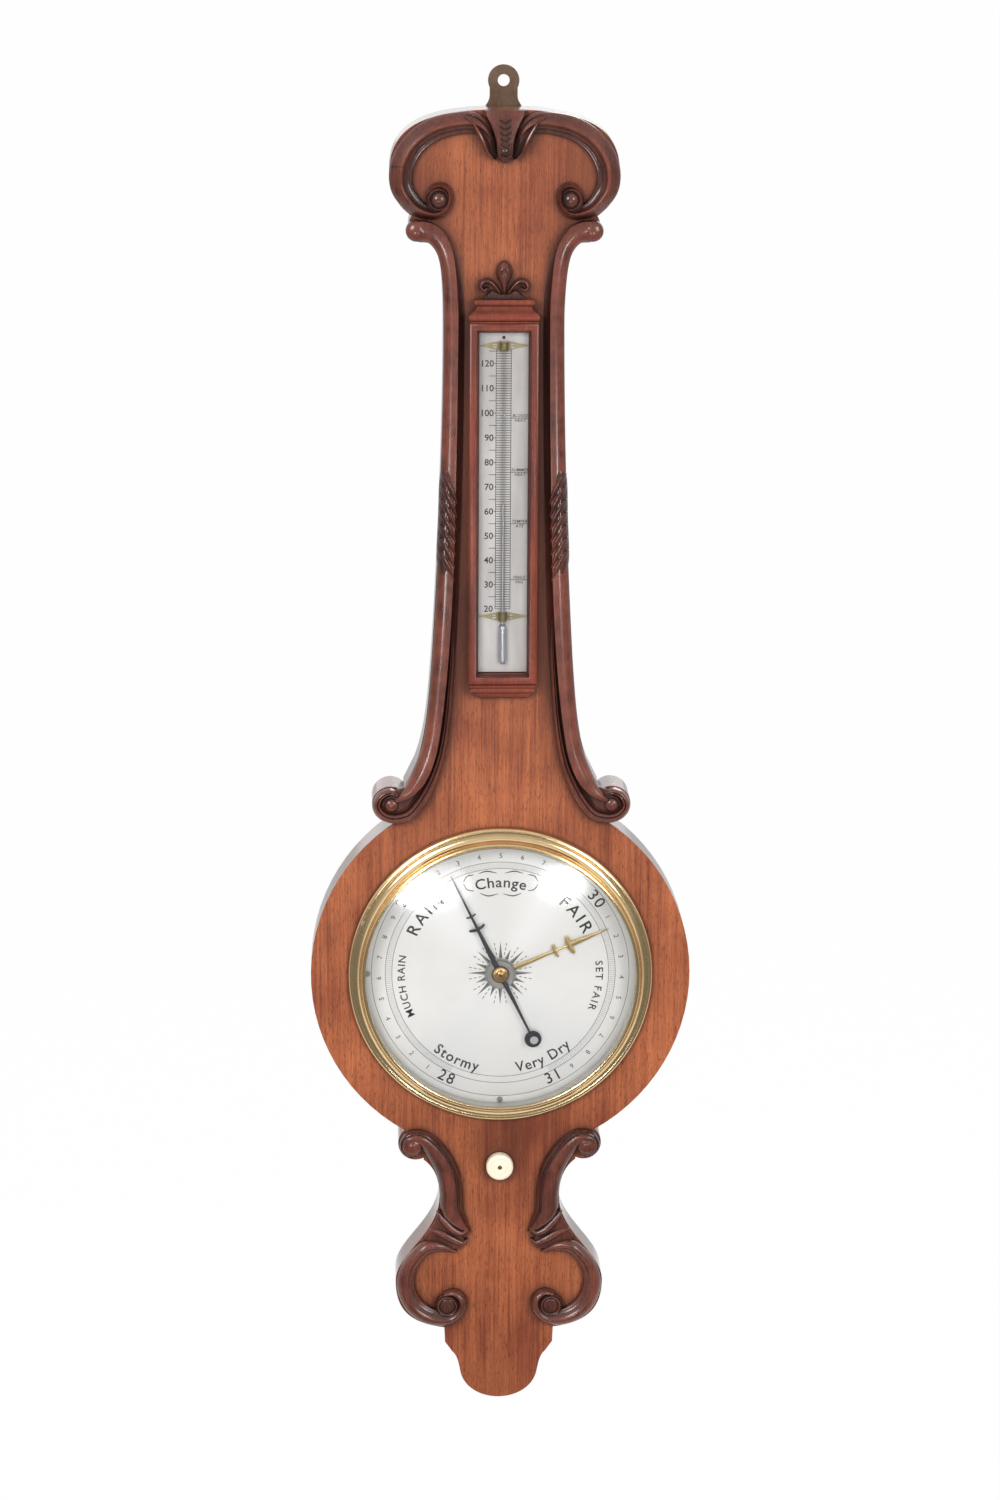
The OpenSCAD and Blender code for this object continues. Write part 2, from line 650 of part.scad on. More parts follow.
module thermometer_crest() {
    lift = cornice_top;
    pediment = [[-15.5, 0], [15.5, 0], [8.6, 6.6], [2.6, 3.4], [-2.6, 3.4], [-8.6, 6.6]];
    scroll = [[3.2, 4.6, 2.2, 0.5], [6.8, 9.6, 3, 0.62], [10.6, 12.6, 3.5, 0.7], [14.8, 12.2, 3.5, 0.7],
        [16.6, 8.8, 3.2, 0.68], [14.4, 6.2, 2.8, 0.6], [12, 7.8, 1.8, 0.5]];
    bud = [[0, 4.6, 2, 0.45], [0, 9, 4.4, 0.6], [0, 14.4, 9, 0.72], [0, 18.8, 10.6, 0.75], [0, 22.8, 7.6, 0.66],
        [0, 25.6, 3, 0.45]];
    color(carved_wood) face() translate([0, lift, 0]) {
        translate([0, 0, front]) linear_extrude(4) polygon(pediment);
        for (left = [false, true]) mirrored(left) strand(scroll, 3, round_profile);
        strand(bud, 2, round_profile);
    }
}

module thermometer_sill() {
    color(mahogany) face() {
        block(-box_half + 1.6, box_half - 1.6, box_low - sill_h * 0.55, box_low, front, front + box_d - 1);
        block(-box_half + 5.2, box_half - 5.2, box_low - sill_h, box_low - sill_h * 0.55,
            front, front + box_d - 4);
    }
}

module thermometer_glass() {
    slide = pane_groove - 0.2;
    color(clear_glass, 0.3) face()
        block(-box_half + rail_w - slide, box_half - rail_w + slide, box_low + rail_low - slide,
            box_top - 0.2, pane_w, pane_w + pane_t);
}

module thermometer_scale() {
    color(silvered) face() difference() {
        block(-scale_half, scale_half, scale_low, scale_top, front, scale_face);
        block(-bulb_slot_half, bulb_slot_half, bulb_ends[0], bulb_ends[1], front - over, scale_face + over);
        for (v = bulb_ends) out_rod(0, v, front - over, scale_face + over, bulb_slot_half);
        for (v = clip_at, s = [-1, 1]) clip_screw(s * clip_screw_x, v, seat_gap);
        out_rod(0, scale_top - scale_eye_drop, front - over, scale_face + over, scale_eye_r);
    }
}

// A closed glass stem with a long bulb; grow makes the hollow or the filling
module thermo_shape(stem_r, bulb_r, low, top) {
    up_rod(0, low, top, thermo_w, stem_r);
    up_rod(0, bulb_ends[0], bulb_ends[1], thermo_w, bulb_r);
    for (v = bulb_ends) translate([0, v, thermo_w]) sphere(r = bulb_r);
}

bulb_wall = 0.6;
bore_r = 0.5;

module thermometer_tube() {
    color(clear_glass, 0.4) face() difference() {
        thermo_shape(thermo_stem_d / 2, bulb_d / 2, stem_low, stem_top);
        thermo_shape(bore_r, bulb_d / 2 - bulb_wall, stem_low - 4, stem_top - 3);
    }
}

module thermometer_mercury() {
    color(quicksilver) face()
        thermo_shape(bore_r - run_gap, bulb_d / 2 - bulb_wall - run_gap, stem_low - 4, thermo_reading);
}

module clip_screw(u, v, gap) {
    out_rod(u, v, scale_face + clip_t, scale_face + clip_t + clip_screw_head_h,
        clip_screw_head_r + gap);
    out_rod(u, v, front - veneer_t * 0.7 - gap, scale_face + clip_t + seat_gap,
        clip_screw_shank_r + gap);
}

module clip_screws() {
    color(brass) face() for (v = clip_at, s = [-1, 1]) clip_screw(s * clip_screw_x, v, 0);
}

// A brass strap bent over the stem, with pointed ends
module thermometer_clips() {
    r_in = thermo_stem_d / 2 + run_gap;
    rise = thermo_w - scale_face;
    color(brass) face() for (v = clip_at) difference() {
        intersection() {
            translate([0, v, scale_face]) linear_extrude(box_d) polygon([[-clip_half, 0], [-4, clip_h / 2],
                [4, clip_h / 2], [clip_half, 0], [4, -clip_h / 2], [-4, -clip_h / 2]]);
            translate([0, v + clip_h, scale_face]) rotate([90, 0, 0]) linear_extrude(2 * clip_h)
                difference() {
                    union() {
                        translate([-clip_half, 0]) square([2 * clip_half, clip_t]);
                        translate([0, rise]) circle(r = r_in + clip_t);
                        translate([-r_in - clip_t, 0]) square([2 * (r_in + clip_t), rise]);
                    }
                    translate([0, rise]) circle(r = r_in);
                    translate([-r_in, -over]) square([2 * r_in, rise + over]);
                    translate([-clip_half, -2 * clip_half]) square([2 * clip_half, 2 * clip_half]);
                }
        }
        for (s = [-1, 1]) clip_screw(s * clip_screw_x, v, seat_gap);
    }
}

module hanger_plate() {
    color(bronze) face() difference() {
        linear_extrude(hanger_t) hanger_shape(0);
        out_rod(0, hanger_rise, -over, hanger_t + over, hanger_hole_d / 2);
        screw_holes(back_screws);
    }
}

module bezel_pin(a, gap) {
    rotate([0, 0, a]) out_rod(bezel_pin_at, 0, front - 9 - gap, bezel_pin_top + gap, bezel_pin_r + gap);
}

function arc(at, r, from, to, n) = [for (i = [0:n]) let (a = from + (to - from) * i / n)
    [at[0] + r * cos(a), at[1] + r * sin(a)]];

// The ring's section, in radius and distance from the wall: spigot, flange, rounded rim, cove, lip and seat
module bezel() {
    seat_r = glass_r + seat_gap;
    spigot_r = recess_r - seat_gap;
    cove_at = [bezel_r - bezel_rim_r - 0.3, front + bezel_h - 2];
    cove_r = cove_at[0] - seat_r - bezel_wall;
    lip_at = [bezel_in_r + bezel_lip_r, front + bezel_h - bezel_lip_r];
    section = concat(
        [[seat_r, front - spigot_d], [spigot_r, front - spigot_d], [spigot_r, front], [bezel_r, front]],
        arc([bezel_r - bezel_rim_r, bezel_rim_w], bezel_rim_r, 0, 120, 8),
        arc(cove_at, cove_r, -100, -178, 10),
        [[seat_r + 0.4, front + bezel_h - 1.1], [seat_r - 0.2, front + bezel_h - 0.4]],
        arc(lip_at, bezel_lip_r, 80, 270, 8),
        [[seat_r, glass_seat_w]]);
    color(brass) face() difference() {
        rotate_extrude($fn = 96) polygon(section);
        for (a = bezel_pin_angles) bezel_pin(a, run_gap);
    }
}

module bezel_pins() {
    color(brass) face() for (a = bezel_pin_angles) bezel_pin(a, 0);
}

module dial_glass() {
    centre_w = glass_edge_w + glass_sag - dome_r;
    color(clear_glass, 0.25) face() rotate_extrude($fn = 96) {
        intersection() {
            difference() {
                translate([0, centre_w + glass_t]) circle(r = dome_r, $fn = 180);
                translate([0, centre_w]) circle(r = dome_r, $fn = 180);
            }
            translate([0, glass_edge_w]) square([glass_r, glass_sag + glass_t + 1]);
        }
    }
}

// The plain ring between the dial and the glass
module sight_ring() {
    color(brass) face() rotate_extrude($fn = 96)
        translate([dial_view_r, dial_face]) square([glass_r - dial_view_r, glass_edge_w - dial_face]);
}

module dial_screw(a, gap) {
    rotate([0, 0, -a]) {
        out_rod(0, dial_screw_r, dial_face, dial_face + 0.8, 2 + gap);
        out_rod(0, dial_screw_r, dial_back - dial_screw_l - gap, dial_face + seat_gap, 1 + gap);
    }
}

module dial_screws() {
    color(brass) face() for (a = dial_screw_angles) dial_screw(a, 0);
}

module dial_plate() {
    color(silvered) face() difference() {
        union() {
            out_rod(0, 0, dial_back, dial_face, dial_r);
            out_rod(0, 0, dial_back - 2.2, dial_back + 0.1, pipe_d / 2 + 2);
        }
        out_rod(0, 0, dial_back - 3, dial_face + over, pipe_d / 2 + run_gap);
        for (a = dial_screw_angles) dial_screw(a, seat_gap);
        for (s = [-1, 1]) bridge_screw(s, seat_gap);
    }
}

module bridge_screw(s, gap) {
    u = s * (bridge_half + bridge_t + 4);
    out_rod(u, 0, dial_back - bridge_t - 1.2, dial_back - bridge_t, 1.8 + gap);
    out_rod(u, 0, dial_back - bridge_t - 0.1, dial_back + 0.8 + gap, 0.8 + gap);
}

module bridge_screws() {
    color(brass) face() for (s = [-1, 1]) bridge_screw(s, 0);
}

// A brass strap that carries the inner end of the arbor
module movement_bridge() {
    half_v = 4.5;
    foot = 8;
    outer = bridge_half + bridge_t;
    color(brass) face() difference() {
        union() {
            block(-outer, outer, -half_v, half_v, bridge_in, bridge_in + bridge_t);
            for (s = [-1, 1]) mirrored(s < 0) {
                block(bridge_half, outer, -half_v, half_v, bridge_in, dial_back);
                block(bridge_half, outer + foot, -half_v, half_v, dial_back - bridge_t, dial_back);
            }
        }
        out_rod(0, 0, bridge_in - over, bridge_in + bridge_t + over, arbor_d / 2 + run_gap);
        for (s = [-1, 1]) bridge_screw(s, seat_gap);
    }
}

// The glass siphon: closed chamber, stem, bend and open chamber; r and R are the stem's and chambers' radii
module siphon_shape(r, R, top_gap, open_end) {
    up_rod(long_u, long_flare + flare_l, closed_end - top_gap, tube_depth, R);
    up_cone(long_u, long_flare, long_flare + flare_l, tube_depth, r, R);
    up_rod(long_u, bend_v, long_flare, tube_depth, r);
    translate([(long_u + short_u) / 2, bend_v, tube_depth]) rotate([0, 0, 180])
        rotate_extrude(angle = 180) translate([bend_r, 0]) circle(r = r);
    up_rod(short_u, bend_v, short_flare, tube_depth, r);
    up_cone(short_u, short_flare, short_flare + flare_l, tube_depth, r, R);
    up_rod(short_u, short_flare + flare_l, open_end, tube_depth, R);
}

module siphon_tube() {
    color(clear_glass, 0.4) face() difference() {
        siphon_shape(stem_d / 2, chamber_d / 2, 0, open_top);
        siphon_shape(stem_bore / 2, chamber_bore / 2, 1.5, open_top + over);
    }
}

module mercury_column() {
    r = stem_bore / 2 - run_gap;
    R = chamber_bore / 2 - run_gap;
    color(quicksilver) face() intersection() {
        siphon_shape(r, R, 1.5, open_column_low);
        block(long_u - R, short_u + R, bend_v - 2 * bend_r, closed_column_low, 0, front);
    }
}

module upper_mercury() {
    color(quicksilver) face()
        up_rod(long_u, closed_column_low, closed_surface, tube_depth, chamber_bore / 2 - run_gap);
}

module lower_mercury() {
    color(quicksilver) face()
        up_rod(short_u, open_column_low, open_surface, tube_depth, chamber_bore / 2 - run_gap);
}

// Brass straps over the tube, with a foot on each side
module tube_saddles() {
    color(brass) face() difference() {
        for (s = saddles) translate([s[0], s[1] + saddle_h / 2, 0]) rotate([90, 0, 0])
            linear_extrude(saddle_h) {
                r_in = s[2] + run_gap;
                r_out = r_in + saddle_t;
                difference() {
                    union() {
                        translate([0, tube_depth]) circle(r = r_out);
                        translate([-r_out, tube_depth]) square([2 * r_out, s[3] - tube_depth]);
                        translate([-r_out - saddle_foot, s[3] - saddle_t])
                            square([2 * (r_out + saddle_foot), saddle_t]);
                    }
                    translate([0, tube_depth]) circle(r = r_in);
                    translate([-r_in, tube_depth]) square([2 * r_in, s[3] - tube_depth + over]);
                    translate([-r_out, s[3]]) square([2 * r_out, r_out]);
                }
            }
        screw_holes(saddle_screws);
    }
}

module neck_cover() {
    half = trench_half + ledge;
    color(pine) face() difference() {
        block(long_u - half, long_u + half, neck_cover_low, neck_cover_top, 0, cover_t);
        screw_holes(back_screws);
    }
}

module base_cover() {
    color(pine) face() difference() {
        block(long_u - trench_half - ledge, base_cover_right, base_cover_low, base_cover_top, 0, cover_t);
        screw_holes(back_screws);
    }
}

module knob_bush() {
    color(brass) face() difference() {
        out_rod(0, -knob_drop, channel_floor, front, knob_bush_r);
        out_rod(0, -knob_drop, channel_floor - over, front + over, spindle_d / 2 + run_gap);
    }
}

// The line round both pulleys, at a distance from their grooves: an arc over each, joined by straight runs
function cord_line(d) =
    let (lean = asin((set_groove_r - knob_groove_r) / knob_drop))
    concat([for (i = [0:20]) let (a = -lean + i * (180 + 2 * lean) / 20)
            (set_groove_r + d) * [cos(a), sin(a)]],
        [for (i = [0:16]) let (a = 180 + lean + i * (180 - 2 * lean) / 16)
            [0, -knob_drop] + (knob_groove_r + d) * [cos(a), sin(a)]]);

// The endless gut cord of the set hand
module set_cord() {
    color(thread_grey) face() translate([0, 0, cord_w - cord_d / 2]) difference() {
        linear_extrude(cord_d) polygon(cord_line(cord_gap + cord_d));
        translate([0, 0, -over]) linear_extrude(cord_d + 2 * over) polygon(cord_line(cord_gap));
    }
}

module hinge_barrel(v, length) {
    difference() {
        up_rod(hinge_u, v, v + length, hinge_w, knuckle_r);
        up_rod(hinge_u, v - over, v + length + over, hinge_w, hinge_pin_r + run_gap);
    }
}

module hinge_leaf(v, side, barrels) {
    inner = knuckle_r + move_gap;
    low = hinge_w - leaf_t / 2;
    difference() {
        union() {
            mirror_u(side) block(inner, leaf_w, v - leaf_half, v + leaf_half, low, low + leaf_t);
            for (b = barrels) mirror_u(side)
                block(hinge_pin_r + 0.4, inner + over, v + b, v + b + knuckle_l, low, low + leaf_t);
        }
        up_rod(hinge_u, v - leaf_half - over, v + leaf_half + over, hinge_w, hinge_pin_r + 0.3);
    }
    for (b = barrels) hinge_barrel(v + b, knuckle_l);
}

// Places a leaf drawn from the hinge axis outwards on one side of it
module mirror_u(side) { translate([hinge_u, 0, 0]) mirror([side < 0 ? 1 : 0, 0, 0]) children(); }

middle_barrel = [-knuckle_l / 2];
outer_barrels = [-1.5 * knuckle_l - knuckle_gap, knuckle_l / 2 + knuckle_gap];

module hinge_case_leaves() {
    color(brass) face() difference() {
        for (v = hinge_at) hinge_leaf(v, 1, middle_barrel);
        screw_holes(back_screws);
    }
}

module hinge_pins() {
    color(brass) face() for (v = hinge_at)
        up_rod(hinge_u, v - leaf_half, v + leaf_half, hinge_w, hinge_pin_r);
}

module wood_screws() {
    color(brass) face() for (s = concat(back_screws, saddle_screws)) wood_screw(s, 0);
}

module button_screw() {
    color(brass) face() wood_screw([button_u, 0, button_out], 0);
}

// A straight tapering bar of a hand
module hand_bar(r0, r1, w0, w1) {
    linear_extrude(hand_t) polygon([[-w0 / 2, r0], [w0 / 2, r0], [w1 / 2, r1], [-w1 / 2, r1]]);
}

// A crescent across a hand, hollow towards the tip
module hand_bow(r, reach, thick) {
    translate([0, r, 0]) difference() {
        cylinder(h = hand_t, r = reach);
        out_rod(0, thick, -over, hand_t + over, reach);
        block(-2 * reach, 2 * reach, 0, 2 * reach, -over, hand_t + over);
    }
}

module indicator_hand() {
    ring_r = 6.3;
    hole_r = 4.2;
    color(steel) face() rotate([0, 0, -hand_angle]) translate([0, 0, hand_w]) difference() {
        union() {
            cylinder(h = hand_t, r = hand_hub_r);
            cylinder(h = collet_h, r = 3.75);
            hand_bar(0, hand_tip_r, 4.2, 0.5);
            hand_bar(ring_r - hand_tail_r - 1, 0, 2.2, 2.4);
            out_rod(0, -hand_tail_r, 0, hand_t, ring_r);
            hand_bow(38.6, 6, 2.2);
            hand_bow(49, 4.5, 1.8);
        }
        out_rod(0, hole_r + 1 - hand_tail_r - ring_r, -over, hand_t + over, hole_r);
        out_rod(0, 0, -over, collet_h + over, arbor_d / 2 + fix_gap);
    }
}

module hand_arbor() {
    color(steel) face() out_rod(0, 0, bridge_in - 0.2, hand_w + collet_h + 0.4, arbor_d / 2);
}

// A grooved wheel on the viewing axis
module grooved_wheel(w, thick, rim_r, groove_r, groove_t, bore_r) {
    translate([0, 0, w]) difference() {
        translate([0, 0, -thick / 2]) cylinder(h = thick, r = rim_r);
        translate([0, 0, -groove_t / 2]) difference() {
            cylinder(h = groove_t, r = rim_r + over);
            translate([0, 0, -over]) cylinder(h = groove_t + 2 * over, r = groove_r);
        }
        translate([0, 0, -thick]) cylinder(h = 2 * thick, r = bore_r);
    }
}

module thread_pulley() {
    groove_r = thread_r - thread_d / 2 - run_gap;
    color(brass) face()
        grooved_wheel(thread_w, thread_pulley_t, thread_r + 1.8, groove_r, thread_d + 0.7,
            arbor_d / 2 + fix_gap);
}

module float_weight() {
    color(clear_glass) face() up_rod(short_u, float_low, float_low + float_l, tube_depth, float_d / 2);
}

module float_thread() {
    color(thread_grey) face() up_rod(short_u, float_low + float_l, 0, thread_w, thread_d / 2);
}

module counterweight() {
    color(brass) face() up_rod(-short_u, weight_low, weight_low + weight_l, thread_w, weight_d / 2);
}

module counterweight_thread() {
    color(thread_grey) face() up_rod(-short_u, weight_low + weight_l, 0, thread_w, thread_d / 2);
}

module set_hand() {
    color(brass) face() rotate([0, 0, -set_angle]) translate([0, 0, set_hand_w]) difference() {
        union() {
            cylinder(h = hand_t, r = set_boss_r);
            hand_bar(0, set_tip_r, 2.6, 0.6);
            hand_bow(43.2, 4, 1.8);
            hand_bow(54.6, 6, 2.4);
        }
        out_rod(0, 0, -over, hand_t + over, pipe_d / 2 + fix_gap);
    }
}

module set_hand_pipe() {
    color(brass) face() difference() {
        out_rod(0, 0, cord_w - cord_pulley_t / 2, set_hand_w + hand_t, pipe_d / 2);
        out_rod(0, 0, cord_w - cord_pulley_t, hand_w, arbor_d / 2 + run_gap);
    }
}

module set_hand_pulley() {
    color(brass) face()
        grooved_wheel(cord_w, cord_pulley_t, set_pulley_r, set_groove_r, cord_d + 0.5, pipe_d / 2 + fix_gap);
}

// A turned knob with a dished front, two rings and a small hole
module setting_knob() {
    r = knob_d / 2;
    color(bone) face() translate([0, -knob_drop, knob_low]) difference() {
        rotate_extrude() union() {
            square([r - 1.5, knob_h]);
            square([r, knob_h - 1.5]);
            translate([r - 1.5, knob_h - 1.5]) circle(r = 1.5);
        }
        translate([0, 0, knob_h - 0.5]) difference() {
            cylinder(h = 1, r = r * 0.72);
            translate([0, 0, -0.2]) cylinder(h = 1, r = r * 0.52);
        }
        translate([0, 0, -over]) cylinder(h = spindle_out - knob_low + over, r = spindle_d / 2 + fix_gap);
        cylinder(h = knob_h + over, r = 1.65);
    }
}

module knob_spindle() {
    color(brass) face() out_rod(0, -knob_drop, spindle_in, spindle_out - fix_gap, spindle_d / 2);
}

module knob_pulley() {
    color(brass) face() translate([0, -knob_drop, 0])
        grooved_wheel(cord_w, cord_pulley_t, knob_pulley_r, knob_groove_r, cord_d + 0.5,
            spindle_d / 2 + fix_gap);
}

module back_door() {
    color(pine) face() difference() {
        block(-door_half, door_half, -door_half, door_half, door_out, door_in);
        for (v = hinge_at)
            block(hinge_u - leaf_w - 0.3, door_half + over, v - leaf_half - 0.3, v + leaf_half + 0.3,
                door_out - over, hinge_w + leaf_t / 2);
        screw_holes(leaf_screws);
    }
}

module hinge_door_leaves() {
    color(brass) face() difference() {
        for (v = hinge_at) hinge_leaf(v, -1, outer_barrels);
        screw_holes(leaf_screws);
    }
}

// Door screws end inside the door
module door_screws() {
    color(brass) face() intersection() {
        for (s = leaf_screws) wood_screw(s, 0);
        block(-round_r, round_r, -round_r, round_r, 0, door_in - 0.5);
    }
}

// The button stands upright, clear of the door, and a quarter turn lays it over the door's edge
module turn_button() {
    color(brass) face() difference() {
        translate([button_u, 0, button_out]) linear_extrude(button_t) union() {
            translate([-button_w / 2, 0]) square([button_w, button_reach - button_w / 2]);
            circle(r = button_w / 2);
            translate([0, button_reach - button_w / 2]) circle(r = button_w / 2);
        }
        screw_hole([button_u, 0, button_out]);
    }
}

case_body();
front_veneer();
crest_scroll(true);  // crest_scroll_left
crest_scroll(false);  // crest_scroll_right
crest_cartouche();
neck_moulding(true);  // neck_moulding_left
neck_moulding(false);  // neck_moulding_right
lower_scroll(true);  // lower_scroll_left
lower_scroll(false);  // lower_scroll_right
thermometer_frame();
thermometer_cornice();
thermometer_crest();
thermometer_sill();
thermometer_glass();
thermometer_scale();
thermometer_tube();
thermometer_mercury();
thermometer_clips();
clip_screws();
hanger_plate();
bezel();
dial_glass();
sight_ring();
bezel_pins();
dial_plate();
dial_screws();
movement_bridge();
bridge_screws();
siphon_tube();
mercury_column();
upper_mercury();
lower_mercury();
tube_saddles();
neck_cover();
base_cover();
knob_bush();
set_cord();
hinge_case_leaves();
hinge_pins();
wood_screws();
button_screw();
indicator_hand();
hand_arbor();
thread_pulley();
float_weight();
float_thread();
counterweight();
counterweight_thread();
set_hand();
set_hand_pipe();
set_hand_pulley();
setting_knob();
knob_spindle();
knob_pulley();
back_door();
hinge_door_leaves();
door_screws();
turn_button();
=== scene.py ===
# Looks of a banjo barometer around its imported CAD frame, laid out as an add-on and run as a script.
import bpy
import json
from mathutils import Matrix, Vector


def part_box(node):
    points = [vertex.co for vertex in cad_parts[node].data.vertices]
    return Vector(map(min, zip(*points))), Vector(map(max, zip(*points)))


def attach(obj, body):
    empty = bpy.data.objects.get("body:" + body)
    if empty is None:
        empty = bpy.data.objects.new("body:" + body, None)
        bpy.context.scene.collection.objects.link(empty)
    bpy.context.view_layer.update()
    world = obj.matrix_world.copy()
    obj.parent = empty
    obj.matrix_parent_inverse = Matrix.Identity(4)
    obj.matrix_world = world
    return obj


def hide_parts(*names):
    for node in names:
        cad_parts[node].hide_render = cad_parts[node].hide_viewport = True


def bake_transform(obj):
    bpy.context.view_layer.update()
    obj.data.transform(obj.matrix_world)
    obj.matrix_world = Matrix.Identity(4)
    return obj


bl_info = {
    "name": "Banjo Barometer",
    "version": (1, 0, 0),
    "blender": (4, 5, 0),
    "location": "View3D > Sidebar > Barometer",
    "description": "Carving, dial, thermometer and finishes of a banjo barometer",
    "category": "Add Mesh",
}

import json
import math

import bmesh
import bpy
from bpy.props import FloatProperty, FloatVectorProperty, PointerProperty
from mathutils import Matrix, Vector

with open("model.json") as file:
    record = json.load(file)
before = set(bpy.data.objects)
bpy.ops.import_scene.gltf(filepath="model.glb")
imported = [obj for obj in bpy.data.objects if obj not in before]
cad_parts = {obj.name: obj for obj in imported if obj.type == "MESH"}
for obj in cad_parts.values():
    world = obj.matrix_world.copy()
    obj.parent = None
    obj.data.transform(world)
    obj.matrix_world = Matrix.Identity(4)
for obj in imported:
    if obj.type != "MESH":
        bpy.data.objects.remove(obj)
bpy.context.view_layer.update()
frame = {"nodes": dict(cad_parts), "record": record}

MM = 0.001
INK = 0.05

# Heights in millimetres above the dial's centre
HANGER_RISE = 645.0
CORNICE_TOP = 495.5
BOX_HEAD = 479.5
TUBE_TOP = 465.7
BOX_FOOT = 219.0
STAIN_HEIGHT = -126.0
KNOB_HEIGHT = -146.3

# Depths in millimetres out from the wall
DIAL_FACE = 28.2
FRONT = 32.0
SCALE_FACE = 33.2
TUBE_AXIS = 35.5
GLASS_EDGE = 39.6
BEZEL_TOP = 44.4

# From millimetres to the right, up and out to the row frame
FACE = Matrix.Translation((0, 0, -HANGER_RISE * MM)) @ Matrix.Rotation(math.radians(90), 4, "X")
FACE = FACE @ Matrix.Scale(MM, 4)


def srgb(red, green, blue):
    """A colour given as it looks on a screen, as linear numbers."""
    def linear(x):
        x = x / 255
        return x / 12.92 if x <= 0.04045 else ((x + 0.055) / 1.055) ** 2.4
    return (linear(red), linear(green), linear(blue))


def rgba(colour):
    return (colour[0], colour[1], colour[2], 1.0)


# Sizes and colours that a user may change

def length(label, about, value):
    return FloatProperty(name=label, description=about, default=value, unit="LENGTH", precision=5)


def colour(label, about, value):
    return FloatVectorProperty(name=label, description=about, default=value, subtype="COLOR", size=3,
                               min=0.0, max=1.0)


class BarometerSizes(bpy.types.PropertyGroup):
    """Sizes of the barometer's looks."""
    carve_rise: length("Carving height", "Height of the carved ridges above the wooden front", 0.0085)
    dial_radius: length("Dial radius", "Radius of the dial inside the sight ring", 0.0995)
    bezel_radius: length("Bezel radius", "Outer radius of the bezel", 0.1112)
    ring_inner: length("Chapter ring inside", "Inner circle of the chapter ring", 0.0793)
    ring_outer: length("Chapter ring outside", "Outer circle of the chapter ring", 0.0842)
    margin_circle: length("Margin circle", "Radius of the outermost engraved circle", 0.0943)
    tick_width: length("Tick width", "Width of an engraved tick", 0.00016)
    glass_rise: length("Glass rise", "Rise of the domed glass from its edge to its middle", 0.008)
    glass_wall: length("Glass thickness", "Thickness of the domed glass", 0.002)
    knob_radius: length("Knob radius", "Radius of the setting knob", 0.00995)


class BarometerColours(bpy.types.PropertyGroup):
    """Colours of the barometer's finishes."""
    veneer_pale: colour("Veneer, pale", "Palest figure of the front veneer", srgb(190, 110, 68))
    veneer_deep: colour("Veneer, deep", "Darkest figure of the front veneer", srgb(122, 60, 38))
    # The pale carving and box colours, raised, also paint highlights on ridges; the deep ones, lowered, paint
    # shade in hollows.
    carving_pale: colour("Carving, pale", "Worn ridges of the carving", srgb(116, 60, 46))
    carving_deep: colour("Carving, deep", "Hollows of the carving", srgb(54, 27, 21))
    box_pale: colour("Box, pale", "Pale figure of the thermometer box", srgb(148, 70, 48))
    box_deep: colour("Box, deep", "Deep figure of the thermometer box", srgb(98, 47, 38))
    back_pale: colour("Backing wood, pale", "Pale figure of the plain wood", srgb(190, 148, 100))
    back_deep: colour("Backing wood, deep", "Deep figure of the plain wood", srgb(134, 94, 58))
    brass: colour("Brass", "Polished brass of the bezel", srgb(236, 208, 160))
    brass_dull: colour("Brass, dull", "Tarnish on the brass", srgb(168, 136, 92))
    bronze: colour("Bronze", "Aged metal of the hanger plate", srgb(112, 90, 75))
    silver: colour("Silvering", "Silvered dial", srgb(250, 249, 246))
    ink: colour("Engraver's wax", "Black wax in the engraving", srgb(38, 36, 36))
    steel: colour("Blued steel", "Indicating hand", srgb(80, 80, 86))
    bone: colour("Bone", "Setting knob", srgb(240, 230, 208))


# Shader and geometry trees

class Socket:
    """One output of a node tree, whose arithmetic adds Math nodes."""

    def __init__(self, tree, out):
        self.tree = tree
        self.out = out

    def math(self, operation, *values):
        kind = "ShaderNodeMath"
        return self.tree.add(kind, {"operation": operation}, dict(enumerate([self, *values])))

    def __add__(self, other):
        return self.math("ADD", other)

    def __sub__(self, other):
        return self.math("SUBTRACT", other)

    def __rsub__(self, other):
        return (self * -1.0) + other

    def __mul__(self, other):
        return self.math("MULTIPLY", other)

    def __pow__(self, other):
        return self.math("POWER", other)

    def clamp(self):
        return self.tree.add("ShaderNodeClamp", {}, {0: self})


